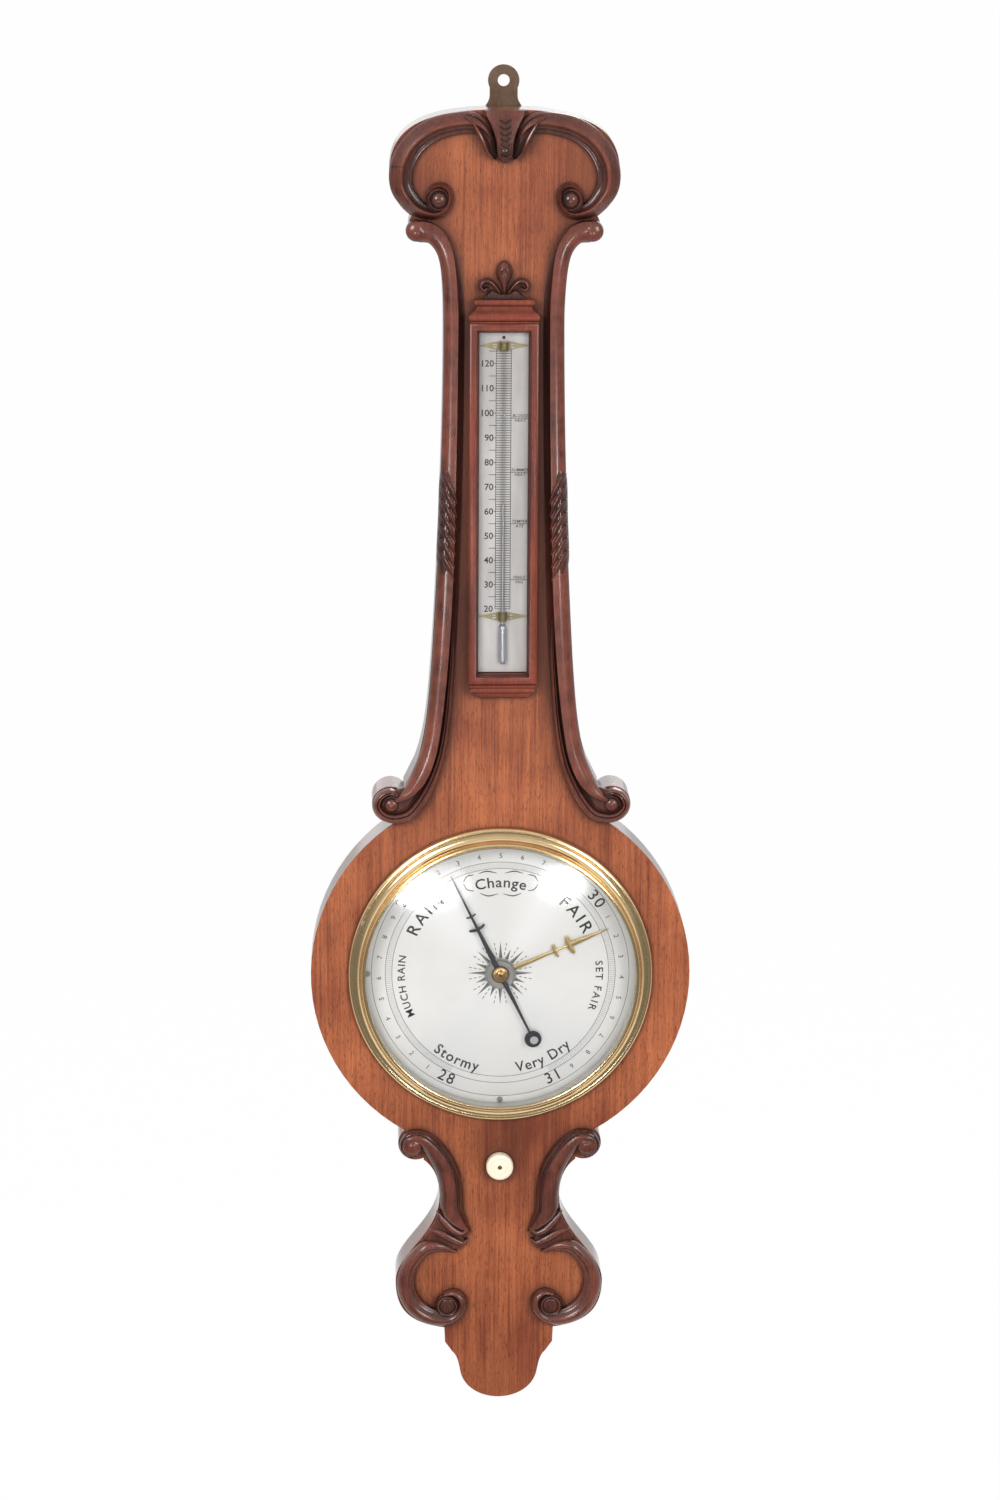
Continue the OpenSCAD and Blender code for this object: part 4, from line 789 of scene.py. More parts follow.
def bar_ladder():
    """Level engraved bars, one above another."""
    tree, given = node_group("ladder of engraved bars", ["Lowest", "Step", "Left", "Right", "Width", "Depth"])
    height = given("Lowest") + tree.add("GeometryNodeInputIndex") * given("Step")
    left, right = given("Left"), given("Right")
    spot = ((left + right) * 0.5, height, given("Depth"))
    return bars_at(tree, given, spot, (right - left, given("Width"), INK), 0.0)


def from_nodes(group, **values):
    """Runs a Geometry Nodes tree on an empty mesh and returns a shape. Its lines are filled with wax."""
    holder = bpy.data.objects.new("nodes", bpy.data.meshes.new("nodes"))
    modifier = holder.modifiers.new("nodes", "NODES")
    modifier.node_group = group
    values["Material"] = FINISHES["wax"]
    for item in group.interface.items_tree:
        name = item.name.replace(" ", "_")
        if item.item_type == "SOCKET" and item.in_out == "INPUT" and name in values:
            modifier[item.identifier] = values[name]
    return evaluated(holder)


# Carving profiles: (side, height, wear and painted light) from the left edge of the strand's run to its right
# edge

# The last number pales ridges, partly as wear and partly as painted highlight, and darkens hollows, partly as
# grime and partly as painted shade.
CREST_PROFILE = [(1.0, -0.05, 0), (1.0, 0.3, 0.1), (0.94, 0.42, 0.35), (0.8, 0.54, 0.1), (0.55, 0.7, 0.05),
                 (0.3, 0.85, 0.15), (0.12, 0.95, 0.5), (0.02, 1.0, 1.0), (-0.06, 0.97, 0.7),
                 (-0.16, 0.83, 0.0), (-0.3, 0.62, -0.2), (-0.48, 0.47, -0.3), (-0.66, 0.39, -0.4),
                 (-0.8, 0.39, -0.3), (-0.89, 0.42, 0.0), (-0.95, 0.37, -0.1), (-1.0, 0.26, -0.4),
                 (-1.0, -0.05, -0.8)]
BAND_PROFILE = [(1.0, -0.05, 0), (1.0, 0.5, 0.2), (0.93, 0.66, 0.5), (0.78, 0.78, 0.7), (0.6, 0.88, 0.8),
                (0.3, 0.96, 0.8), (-0.1, 1.0, 0.8), (-0.5, 1.0, 0.8), (-0.96, 0.98, 0.6),
                (-1.0, 0.6, -0.6), (-1.0, -0.05, -0.9)]
# The cove is darkened all over: painted shade with grime.
COVE_PROFILE = [(1.0, -0.05, -0.9), (1.0, 0.9, -0.9), (0.7, 0.62, -0.8), (0.4, 0.42, -0.7), (0.0, 0.26, -0.6),
                (-0.4, 0.15, -0.5), (-0.8, 0.08, -0.5), (-1.0, 0.05, -0.5), (-1.0, -0.05, -0.5)]
PANEL = [(1.0, -0.05, 0), (1.0, 0.55, -0.2), (0.9, 0.8, 0.2), (0.6, 0.9, 0.05), (0.0, 0.95, 0.05),
         (-0.6, 0.9, 0.05), (-0.9, 0.8, 0.2), (-1.0, 0.55, -0.2), (-1.0, -0.05, 0)]
WING = [(1.0, -0.05, 0), (1.0, 0.5, 0.0), (0.88, 0.8, 0.3), (0.66, 1.0, 0.9), (0.48, 0.96, 0.4),
        (0.26, 0.72, -0.3), (0.0, 0.54, -0.7), (-0.4, 0.46, -0.8), (-0.72, 0.56, -0.5), (-0.88, 0.68, 0.2),
        (-0.96, 0.6, 0.0), (-1.0, 0.3, -0.6), (-1.0, -0.05, -0.8)]


def round_profile(steps=12, groove=0.0, at=-0.45):
    """A rounded strand, with a groove along it where asked."""
    rows = [(1.0, -0.05, 0.0)]
    for k in range(steps + 1):
        side = 1.0 - 2.0 * k / steps
        z = 0.3 + 0.7 * max(0.0, 1.0 - abs(side) ** 2.3) ** 0.6
        z -= groove * math.exp(-((side - at) / 0.12) ** 2)
        # The crown is paler: partly wear, partly painted highlight.
        rows.append((side, z, max(0.0, z - 0.86) * 4.0))
    rows.append((-1.0, -0.05, 0.0))
    return rows


ROUND = round_profile()
WRAP = [(1.0, -0.05, -0.8), (1.0, 0.6, -0.8), (0.8, 0.76, -0.7), (0.4, 0.88, -0.5), (0.0, 0.96, -0.3),
        (-0.4, 1.0, 0.1), (-0.66, 0.98, 0.7), (-0.84, 0.86, -0.2), (-1.0, 0.6, -0.7), (-1.0, -0.05, -0.8)]
GROOVED = round_profile(18, 0.24, 0.6)
EAR_PROFILE = [(1.0, -0.05, 0), (1.0, 0.3, 0.0), (0.9, 0.52, 0.1), (0.74, 0.66, 0.3), (0.6, 0.62, -0.5),
               (0.52, 0.55, -0.9), (0.44, 0.66, -0.3), (0.3, 0.84, 0.3), (0.14, 0.92, 0.4), (0.0, 0.9, -0.2),
               (-0.08, 0.83, -0.8), (-0.16, 0.9, -0.2), (-0.34, 0.98, 0.4), (-0.56, 0.94, 0.4),
               (-0.76, 0.8, 0.3), (-0.9, 0.6, 0.1), (-1.0, 0.3, 0.0), (-1.0, -0.05, 0)]
HOLLOW = [(1.0, -0.05, 0), (1.0, 0.4, 0.1), (0.9, 0.62, 0.2), (0.68, 0.84, 0.25), (0.4, 0.97, 0.5),
          (0.15, 1.0, 0.7), (-0.05, 0.97, 0.5), (-0.25, 0.84, 0.1), (-0.45, 0.66, 0.0), (-0.65, 0.54, 0.0),
          (-0.82, 0.52, 0.25), (-0.92, 0.46, 0.2), (-1.0, 0.3, 0.0), (-1.0, -0.05, 0)]

# Carved runs on the right side: [u, v, width, height] rows, and (u, v) outlines of the pads under them

CREST = [[10, 607, 6, 0.6], [14, 613.6, 11, 0.74], [20.5, 617.8, 14.4, 0.84], [30, 618.4, 15, 0.9],
         [48, 614.4, 16, 0.96], [62.5, 604.6, 16.5, 1], [71.2, 590, 16.8, 1], [72, 575, 16.2, 1],
         [66, 564.2, 14, 1], [58.5, 558, 11, 0.98],
         [49.4, 555.4, 8.4, 0.94], [42.6, 558.2, 7, 0.9], [39, 564, 5.8, 0.88], [39.4, 570.6, 5.2, 0.84],
         [43.6, 574.4, 4.9, 0.78], [49, 573.8, 4.4, 0.7], [52.6, 569.6, 3.4, 0.6]]
LEAF_BODY = [[0, 627, 30, 0.66], [0, 622.5, 27, 0.78], [0, 617, 21, 0.88], [0, 610, 15.4, 0.95],
             [0, 603, 12.4, 1], [0, 598, 12, 0.96], [0, 594.6, 9, 0.84], [0, 593, 5, 0.66]]
LEAF_WING = [[27.5, 623.4, 2.4, 0.8], [21.6, 620.4, 6.4, 1.0], [16.2, 614, 9.2, 1.1], [12.4, 606.4, 9, 1.14],
             [10.2, 599.5, 7, 1.06], [7.4, 594.8, 3.6, 0.85]]
LEAF_MARKS = [(3.6, 620.0), (3.8, 615.6), (3.8, 611.4), (3.6, 607.4), (3.4, 603.4), (3.0, 599.6),
              (2.6, 596.4)]
HORN = [[60, 543, 14.4, 1], [56, 543.2, 14.8, 1.04], [48.8, 540, 13.4, 1.02], [42.6, 531, 11.6, 0.98],
        [39.5, 518, 10.6, 0.94], [37.6, 495, 10.4, 0.92], [37.3, 470, 10.4, 0.92], [38.1, 408, 10.8, 0.92],
        [39.6, 347, 11.4, 0.94], [41.4, 287, 11.6, 0.96], [44.4, 236, 11.6, 0.98], [48, 197, 11, 1],
        [51.5, 174, 11, 1.04], [55.2, 161, 11.8, 1.08], [60.2, 149.6, 11.4, 1.1], [65.8, 141.2, 8.4, 1.08],
        [71.6, 136, 5.2, 1.04], [76.4, 133, 2, 0.9]]
NECK_COVE = [[36, 529, 2, 0.5], [32.4, 514, 3.4, 0.6], [30.3, 495, 4.4, 0.68], [29.9, 470, 4.4, 0.7],
             [30.5, 408, 4.4, 0.7], [31.7, 347, 4.4, 0.72], [33.4, 287, 4.6, 0.74], [36, 236, 5.2, 0.76],
             [39.7, 197, 6.0, 0.8]]
EAR = [[35.9, 266, 1.4, 0.44], [36.2, 250, 3.2, 0.58], [36.7, 236, 4.8, 0.7], [39.7, 197, 6.1, 0.8],
       [42.9, 174, 7.2, 0.86], [46.8, 158.6, 8.6, 0.92], [52, 145.4, 10, 0.98], [58.6, 132.9, 11, 1],
       [66, 123.6, 11, 1], [73, 120.6, 10.4, 1], [80.2, 120.4, 9.6, 1], [86.2, 123.4, 8.8, 1],
       [89.2, 129, 8, 0.98], [86.4, 135.4, 7.2, 0.94], [80.6, 138.2, 6.2, 0.88], [75.4, 136.6, 4.4, 0.7]]
LEAF_WRAP = [[39.2, 376, 5.0, 0.88], [39.4, 368, 11.6, 0.97], [40.2, 340, 12.0, 1.0], [41.2, 310, 12.2, 1.0],
             [41.6, 298, 6.0, 0.92]]
EAR_PAD = [(50, 168), (46, 158), (52, 140), (60, 128), (70, 121), (82, 119), (90, 126), (88, 136), (80, 139),
           (68.6, 143), (62, 150), (56, 162)]
LOWER_S = [[22.6, -198, 3, 0.5], [28.6, -191.6, 11, 0.75], [34.8, -182, 16.4, 0.92], [35.6, -168, 16.4, 0.96],
           [38.6, -151, 16.4, 1], [46.8, -135.6, 15, 1], [57, -125, 11.8, 1], [66.4, -124.8, 10, 1],
           [69.8, -131.2, 8, 0.95], [64.6, -136.8, 6.2, 0.88], [59.6, -134, 3.6, 0.65]]
LOWER_PAD = [(34, -188), (24.5, -207), (30, -212), (52, -209), (55.4, -201.4), (51, -195), (47.4, -188.6),
             (44.8, -181)]
LOWER_RIDGES = [
    [[45.4, -183, 3, 0.5], [39.6, -190.6, 6.4, 0.72], [33.4, -196.4, 6.4, 0.8], [27.4, -198.6, 4.6, 0.74],
     [23.6, -195.6, 2.6, 0.56]],
    [[50.6, -196.6, 3, 0.46], [43.4, -199, 6.6, 0.62], [35, -203.4, 6.6, 0.7], [28, -206.4, 4.4, 0.62],
     [24.2, -204.6, 2.4, 0.5]],
]
LOWER_C = [[33, -213.4, 3, 0.5], [44, -209.4, 8, 0.8], [53, -209.8, 10, 0.95], [59.6, -215, 10, 1],
           [66.2, -224, 11, 1.02], [69.4, -236, 12.6, 1.02], [68, -246.6, 13.2, 1.02],
           [62.6, -256.4, 13.4, 1.02], [54, -263, 13.2, 1.02], [44.4, -265.8, 12, 1], [35.4, -265, 10, 1],
           [28.9, -259, 8.8, 0.98], [28.2, -251.6, 8, 0.95], [33.6, -246.6, 6.6, 0.85],
           [39.8, -247.6, 4.2, 0.7]]

# Eyes of the volutes: u, v and radius

CREST_EYE = (46.0, 565.2, 9.4)
HORN_EYE = (61.6, 543.6, 7.6)
EAR_EYE = (79.6, 129.2, 5.2)
LOWER_S_EYE = (64.4, -130.6, 7.4)
LOWER_C_EYE = (38.4, -256.0, 9.0)

# The thermometer box: carved runs above its cornice, and (inset, depth) or (v, half width, depth) mouldings

BOX_SCROLL = [[3.2, 4.6, 2.2, 0.5], [6.8, 9.6, 3, 0.62], [10.6, 12.6, 3.5, 0.7], [14.8, 12.2, 3.5, 0.7],
              [16.6, 8.8, 3.2, 0.68], [14.4, 6.2, 2.8, 0.6], [12, 7.8, 1.8, 0.5]]
BOX_BUD = [[0, 4.6, 2, 0.45], [0, 9, 4, 0.6], [0, 13.6, 8.4, 0.7], [0, 17.6, 11, 0.76], [0, 21, 10.6, 0.74],
           [0, 22.4, 8.8, 0.68]]
BUD_RING = [[-0.4, 17.2, 0.8, 0.86], [-1.9, 18.6, 1.0, 0.88], [-1.8, 20.6, 1.0, 0.88], [0, 21.6, 1.0, 0.88],
            [1.7, 20.6, 1.0, 0.88], [1.5, 18.8, 0.8, 0.86]]
BOX_PEDIMENT = [[-15.5, 0], [15.5, 0], [8.6, 6.6], [2.6, 3.4], [-2.6, 3.4], [-8.6, 6.6]]
BOX_HALF = 24.6
RAIL = [(0.0, FRONT), (0.0, 40.6), (0.25, 41.4), (0.8, 41.8), (2.2, 42.2), (4.4, 42.2), (5.2, 41.9),
        (5.7, 41.2), (5.9, 40.2), (6.4, 39.0), (7.0, 38.2), (7.3, 37.0), (7.3, FRONT)]
CORNICE = [(BOX_HEAD, 24.2, 43.0), (480.6, 24.4, 43.4), (480.9, 23.7, 42.6), (482.0, 24.4, 43.4),
           (483.2, 24.8, 43.9), (484.4, 24.7, 43.8), (485.6, 23.8, 42.9), (486.6, 22.4, 41.4),
           (487.6, 21.0, 40.0), (488.6, 20.0, 39.0), (489.8, 19.5, 38.5), (490.8, 19.4, 38.4),
           (491.4, 20.0, 39.0), (492.0, 20.7, 39.8), (493.6, 21.2, 40.4), (494.8, 21.1, 40.2),
           (CORNICE_TOP, 20.7, 39.8)]
SILL = [(209.0, 18.6, 36.2), (209.8, 19.4, 37.4), (211.2, 19.6, 37.6), (212.4, 20.2, 38.4),
        (213.2, 21.6, 39.8), (213.6, 22.6, 40.8), (214.2, 22.9, 41.2), (216.2, 22.9, 41.2),
        (216.7, 22.5, 40.8), (217.2, 22.9, 41.2), (218.2, 23.8, 42.0), (BOX_FOOT, 24.2, 42.3)]


class BarometerOperator:
    """What the operators share."""
    bl_options = {"REGISTER", "UNDO"}

    def size(self, name):
        """One of the sizes, in millimetres."""
        return getattr(bpy.context.scene.barometer_sizes, name) / MM

    @property
    def rise(self):
        return self.size("carve_rise")


class BAROMETER_OT_finishes(BarometerOperator, bpy.types.Operator):
    """Makes the finishes and puts them on the CAD pieces"""
    bl_idname = "barometer.finishes"
    bl_label = "Finishes"

    def execute(self, context):
        make_finishes(context.scene.barometer_colours)
        for row in frame["record"]["subparts"]:
            mesh = frame["nodes"][row["node"]].data
            mesh.materials.clear()
            grey = row["node"] in GREY_SCREWS
            mesh.materials.append(FINISHES["screw_grey" if grey else row["material_slot"]])
        return {"FINISHED"}


def leaf_mark(half, v, rise):
    """A raised curved line across the leaf, painted dark as a carved groove's shade and grime."""
    row = [[-half, v + 1.0, 0.7, 0.97], [-half * 0.5, v - 0.7, 1.1, 1.0], [0, v - 1.3, 1.3, 1.02],
           [half * 0.5, v - 0.7, 1.1, 1.0], [half, v + 1.0, 0.7, 0.97]]
    mark = strand(row, ROUND, rise, per_span=4, caps=(2, 2))
    mark.wear = [-0.75] * len(mark.wear)
    return mark


class BAROMETER_OT_crest(BarometerOperator, bpy.types.Operator):
    """Carves the crest scrolls and the leaf between them"""
    bl_idname = "barometer.crest"
    bl_label = "Crest"

    def execute(self, context):
        side = strand(CREST, CREST_PROFILE, self.rise, per_span=10, caps=(0, 4))
        side.join(dish(*CREST_EYE, self.rise))
        both_sides("crest_scroll", side)
        leaf = strand(LEAF_BODY, PANEL, self.rise, caps=(0, 4))
        wing = strand(LEAF_WING, WING, self.rise)
        leaf.join(wing)
        leaf.join(wing, True)
        for half, v in LEAF_MARKS:
            leaf.join(leaf_mark(half, v, self.rise))
        piece("crest_leaf_carved", leaf, "carving", replaces=["crest_cartouche"])
        return {"FINISHED"}


PAD_EDGE = 0.6
RIB_COUNT = 7
RIB_TOP = 362.0
RIB_STEP = 9.2


def leaf_rib(v, rise):
    """One slanting rib of the leaf that wraps the neck moulding, which widens downwards."""
    edge = 45.0 + (347.0 - v) * 0.04
    row = [[edge - 0.6, v + 9.6, 2.2, 0.96], [edge - 3.4, v + 5.2, 5.2, 1.1],
           [edge - 7.6, v - 3.2, 5.6, 1.13], [edge - 11.2, v - 12.0, 2.0, 0.94]]
    return strand(row, WRAP, rise, per_span=6, caps=(3, 3))


class BAROMETER_OT_neck(BarometerOperator, bpy.types.Operator):
    """Carves the mouldings along the neck with their ears and leaf bands"""
    bl_idname = "barometer.neck"
    bl_label = "Neck mouldings"

    def execute(self, context):
        side = strand(HORN, BAND_PROFILE, self.rise, per_span=10, caps=(0, 4))
        side.join(boss(*HORN_EYE, 1.1 * self.rise))
        side.join(strand(NECK_COVE, COVE_PROFILE, self.rise, per_span=10))
        side.join(strand(EAR, EAR_PROFILE, self.rise, per_span=10))
        side.join(bevelled(EAR_PAD, 0.5 * self.rise, PAD_EDGE))
        side.join(boss(*EAR_EYE, 0.86 * self.rise))
        wrap = strand(LEAF_WRAP, ROUND, self.rise)
        # The wrapping leaf is darkened all over, least on its crown: partly a darker tone, partly painted
        # shade on its flanks.
        wrap.wear = [0.3 * worn_and_lit - 0.35 for worn_and_lit in wrap.wear]
        side.join(wrap)
        for k in range(RIB_COUNT):
            side.join(leaf_rib(RIB_TOP - RIB_STEP * k, self.rise))
        both_sides("neck_moulding", side)
        return {"FINISHED"}


class BAROMETER_OT_base(BarometerOperator, bpy.types.Operator):
    """Carves the scrolls below the dial"""
    bl_idname = "barometer.base"
    bl_label = "Lower scrolls"

    def execute(self, context):
        side = strand(LOWER_S, GROOVED, self.rise, per_span=10)
        for row in LOWER_RIDGES:
            side.join(strand(row, ROUND, self.rise, caps=(3, 3)))
        side.join(strand(LOWER_C, HOLLOW, self.rise, per_span=10))
        side.join(boss(*LOWER_S_EYE, 1.06 * self.rise))
        side.join(dish(*LOWER_C_EYE, self.rise, 0.6, 0.66))
        side.join(bevelled(LOWER_PAD, 0.4 * self.rise, PAD_EDGE))
        both_sides("lower_scroll", side)
        return {"FINISHED"}


def stacked(levels):
    """A moulding built of level outlines: (v, half width, front depth) rows, standing on the wooden front."""
    pts, wear = [], []
    for i, (v, half, w) in enumerate(levels):
        pts += [(-half, v, FRONT), (-half, v, w), (half, v, w), (half, v, FRONT)]
        beside = [levels[k][1] for k in (i - 1, i + 1) if 0 <= k < len(levels)]
        # Edges that stand out further than their neighbours are paler: partly wear, partly painted highlight.
        wear += [0.9 if half >= max(beside) else 0.0] * 4
    return Shape().add(pts, capped(len(levels), 4), wear)


def mitred_frame(half, low, high, profile):
    """A rectangular frame whose section has (distance in from the outside, depth) rows."""
    pts = []
    for side, upper in ((-1, False), (1, False), (1, True), (-1, True)):
        pts += [(side * (half - inset), high - inset if upper else low + inset, w) for inset, w in profile]
    return Shape().add(pts, skin(4, len(profile), True))


def on_cornice(rows):
    """Rows whose heights start from the top of the cornice."""
    return [[u, v + CORNICE_TOP, *rest] for u, v, *rest in rows]


class BAROMETER_OT_box(BarometerOperator, bpy.types.Operator):
    """Makes the thermometer's box with its cornice, sill and little carved crest"""
    bl_idname = "barometer.box"
    bl_label = "Thermometer box"

    def execute(self, context):
        rails = mitred_frame(BOX_HALF, BOX_FOOT, BOX_HEAD, RAIL)
        piece("thermometer_frame_moulded", rails, "box_wood", replaces=["thermometer_frame"])
        piece("thermometer_cornice_moulded", stacked(CORNICE), "box_wood", replaces=["thermometer_cornice"])
        piece("thermometer_sill_moulded", stacked(SILL), "box_wood", replaces=["thermometer_sill"])
        top = Shape()
        scroll = strand(on_cornice(BOX_SCROLL), ROUND, self.rise)
        top.join(scroll)
        top.join(scroll, True)
        top.join(strand(on_cornice(BOX_BUD), round_profile(14), self.rise, caps=(4, 2)))
        top.join(strand(on_cornice(BUD_RING), ROUND, self.rise, per_span=5, caps=(2, 2)))
        top.join(bevelled(on_cornice(BOX_PEDIMENT), 4.0, 0.5))
        piece("thermometer_crest_carved", top, "carving", replaces=["thermometer_crest"])
        return {"FINISHED"}


# The thermometer's scale: a degree's height, where nought would be, the ladder's half width and its ends

DEGREE = 1.766
NOUGHT = 273.2 - 20 * DEGREE
LADDER_HALF = 5.3
LADDER_ENDS = (20, 126)
HEATS = [(98, "BLOOD", "HEAT"), (76, "SUMMER", "HEAT"), (55, "TEMPER", "ATE"), (32, "FREEZ", "ING")]
CLIP_LOW = 267.9
CLIPS_APART = 194.6
CLIP_SCREW = 6.2


def scale_height(degrees):
    return NOUGHT + degrees * DEGREE


def scale_bar(left, right, low, high):
    """A thin engraved bar on the thermometer's scale."""
    outline = [(left, low), (right, low), (right, high), (left, high)]
    return extruded(outline, SCALE_FACE, SCALE_FACE + INK)


def scale_lines(ladder, wide):
    """The degrees with longer lines at fives and tens, the ladder's rails and the lines of the words."""
    lines = Shape()
    first, last = LADDER_ENDS
    runs = [(first, 1, -LADDER_HALF, LADDER_HALF), (30, 10, -6.6, -LADDER_HALF),
            (25, 10, -10.2, -LADDER_HALF)]
    for start, each, left, right in runs:
        lines.join(from_nodes(ladder, Count=(last - start) // each + 1, Lowest=scale_height(start),
                              Step=each * DEGREE, Left=left, Right=right, Width=wide,
                              Depth=SCALE_FACE + INK / 2))
    for u in (-LADDER_HALF, LADDER_HALF):
        lines.join(scale_bar(u - wide / 2, u + wide / 2, scale_height(first), scale_height(last)))
    for at, *_ in HEATS:
        v = scale_height(at)
        lines.join(scale_bar(LADDER_HALF, 17.6, v - wide / 2, v + wide / 2))
    return lines


def moved(u, v):
    """Places a flat word without bending it."""
    return lambda x, y: (x + u, y + v)


def scale_words():
    """The kinds of heat, each on two lines beside its degree."""
    words = Shape()
    for at, upper, lower in HEATS:
        for text, lift in ((upper, 0.8), (lower, -2.6)):
            v = scale_height(at) + lift
            words.join(lettering(text, 2.9, moved(11.6, v), SCALE_FACE, 0.25, 1.12, bold=0.04))
    return words


def thermometer_tube():
    """The bulb and the stem, turned as one."""
    bulb, stem = 3.25, 2.2
    bend = [k * math.pi / 16 for k in range(9)]
    tube = [(bulb * math.sin(a), 235.85 - bulb * math.cos(a)) for a in bend]
    tube += [(bulb * math.cos(a), 259.35 + bulb * math.sin(a)) for a in bend[:5]]
    tube += [(stem, 262.4), (stem, TUBE_TOP - 1.0), (stem * 0.6, TUBE_TOP - 0.2), (0.0, TUBE_TOP)]
    return upright(tube, TUBE_AXIS)


class BAROMETER_OT_scale(BarometerOperator, bpy.types.Operator):
    """Engraves the thermometer's scale"""
    bl_idname = "barometer.scale"
    bl_label = "Thermometer scale"

    def execute(self, context):
        ladder = bar_ladder()
        lines = scale_lines(ladder, self.size("tick_width") * 2.6)
        piece("thermometer_ladder", lines, "scale_silver", finish="wax")
        figures = Shape()
        for n in range(20, 130, 10):
            place = moved(-6.9, scale_height(n) - 2.1)
            figures.join(lettering(str(n), 6.5, place, SCALE_FACE, align="RIGHT", bold=0.1))
        piece("thermometer_figures", figures, "scale_silver", finish="wax")
        piece("thermometer_words", scale_words(), "scale_silver", finish="wax")
        piece("thermometer_tube_drawn", thermometer_tube(), "thermo_glass", replaces=["thermometer_tube"])
        slots = Shape()
        for u in (-CLIP_SCREW, CLIP_SCREW):
            slots.join(from_nodes(ladder, Count=2, Lowest=CLIP_LOW, Step=CLIPS_APART, Left=u - 1.45,
                                  Right=u + 1.45, Width=0.4, Depth=34.9))
        piece("clip_screw_slots", slots, "clip_brass", finish="wax")
        return {"FINISHED"}


class BAROMETER_OT_bezel(BarometerOperator, bpy.types.Operator):
    """Turns the bezel, the sight ring and the domed glass"""
    bl_idname = "barometer.bezel"
    bl_label = "Bezel and glass"

    def execute(self, context):
        view, out = self.size("dial_radius"), self.size("bezel_radius")
        seat, lip, top = view + 1.7, view - 0.9, BEZEL_TOP
        profile = [(seat, 30.0), (seat + 1.6, 30.0), (seat + 1.6, FRONT), (out - 0.3, FRONT),
                   (out, FRONT + 0.3)]
        profile += arc(out - 2.6, FRONT + 1.6, 2.6, 0, 118, 14)
        profile += arc(out - 2.9, top - 2.0, out - 2.9 - seat - 0.7, -100, -176, 16)
        profile += [(seat + 0.45, top - 1.1), (seat + 0.1, top - 0.6), (seat - 0.5, top - 0.25)]
        profile += arc(lip + 1.05, top - 1.05, 1.05, 80, 270, 12) + [(seat, top - 2.1)]
        piece("bezel_turned", lathe(profile, steps=192), "bezel_brass", replaces=["bezel"], sharp=32.0)
        edge, wall, sag = GLASS_EDGE, self.size("glass_wall"), self.size("glass_rise")
        radius = view + 1.6
        ring = [(view, DIAL_FACE), (radius, DIAL_FACE), (radius, edge), (view + 0.6, edge),
                (view + 0.4, edge - 1.0), (view, edge - 1.4)]
        piece("sight_ring_turned", lathe(ring, steps=192), "sight_silver", replaces=["sight_ring"])
        dome = (radius ** 2 + sag ** 2) / (2 * sag)
        rows = []
        for lift, order in ((0.0, range(0, 25)), (wall, range(24, -1, -1))):
            for k in order:
                r = radius * k / 24
                rows.append((r, edge + lift + math.sqrt(dome ** 2 - r ** 2) - (dome - sag)))
        piece("dial_glass_domed", lathe(rows, steps=144), "dial_glass", replaces=["dial_glass"])
        return {"FINISHED"}


def on_dial(radius, angle):
    """A place on the dial at an angle in radians, clockwise from the top."""
    return (radius * math.sin(angle), radius * math.cos(angle))


def clockwise(middle, radius, inward=False):
    """Bends a flat word round the dial: its middle at an angle in degrees, clockwise from the top."""
    def place(x, y):
        bent = math.radians(middle) + (-x if inward else x) / radius
        return on_dial(radius - y if inward else radius + y, bent)
    return place


# The dial: degrees to an inch, the lowest inch's angle, words (angle, radius, size, from below, spacing)

INCH_TURN = 102.5
FIRST_INCH = -153.75
WORDS = [("RAIN", -51.25, 67.4, 12.4, False, 1.3), ("FAIR", 51.25, 67.4, 12.4, False, 1.3),
         ("MUCH RAIN", -98.0, 70.0, 7.6, False, 1.16), ("SET FAIR", 98.0, 70.0, 7.6, False, 1.3),
         ("Stormy", 206.0, 77.0, 11.0, True, 1.16), ("Very Dry", 154.0, 77.0, 11.0, True, 1.1),
         ("Change", 0.0, 65.2, 11.0, False, 1.1)]


def spun(shape, angle):
    """A shape turned clockwise about the dial's centre, in degrees."""
    c, s = math.cos(math.radians(angle)), math.sin(math.radians(angle))
    shape.points = [(u * c + v * s, v * c - u * s, w) for u, v, w in shape.points]
    return shape


def rounded_bar(half, thick, at, low, high):
    """A crossbar with round ends, bowed a little towards the hand's tip."""
    tip = at + half * 0.16
    rows = [[-half, tip, thick * 0.8, 1], [-half * 0.4, at, thick, 1], [half * 0.4, at, thick, 1],
            [half, tip, thick * 0.8, 1]]
    section = [(1.0, 0.0, 0), (1.0, 0.8, 0), (0.7, 1.0, 0), (-0.7, 1.0, 0), (-1.0, 0.8, 0), (-1.0, 0.0, 0)]
    return strand(rows, section, high - low, low, 4, (4, 4))


def blade(stations, low, high):
    """A long hand with a ridged front through (distance, half width) rows."""
    section = [(1.0, 0.0, 0), (1.0, 0.6, 0), (0.0, 1.0, 0), (-1.0, 0.6, 0), (-1.0, 0.0, 0)]
    return strand([[0.0, r, 2 * half, 1] for r, half in stations], section, high - low, low, 2, (0, 0))


def tail_ring(low, high):
    """The ring in the tail of the indicating hand, whose hole lies off its middle."""
    count = 48
    pts = []
    for k in range(count):
        a = 2 * math.pi * k / count
        outer = (6.2 * math.sin(a), -55.0 + 6.2 * math.cos(a))
        inner = (0.3 + 3.1 * math.sin(a), -56.2 + 3.1 * math.cos(a))
        pts += [(*outer, low), (*outer, high), (*inner, high), (*inner, low)]
    return Shape().add(pts, skin(count, 4, True))


# The hands: depths of their backs, their thickness, the angles at which they rest and their holes

STEEL_BACK = 32.0
BRASS_BACK = 29.8
HAND_THICK = 0.8
STEEL_ANGLE = -26.0
BRASS_ANGLE = 66.7
ARBOR_HOLE = 1.02
PIPE_HOLE = 2.62


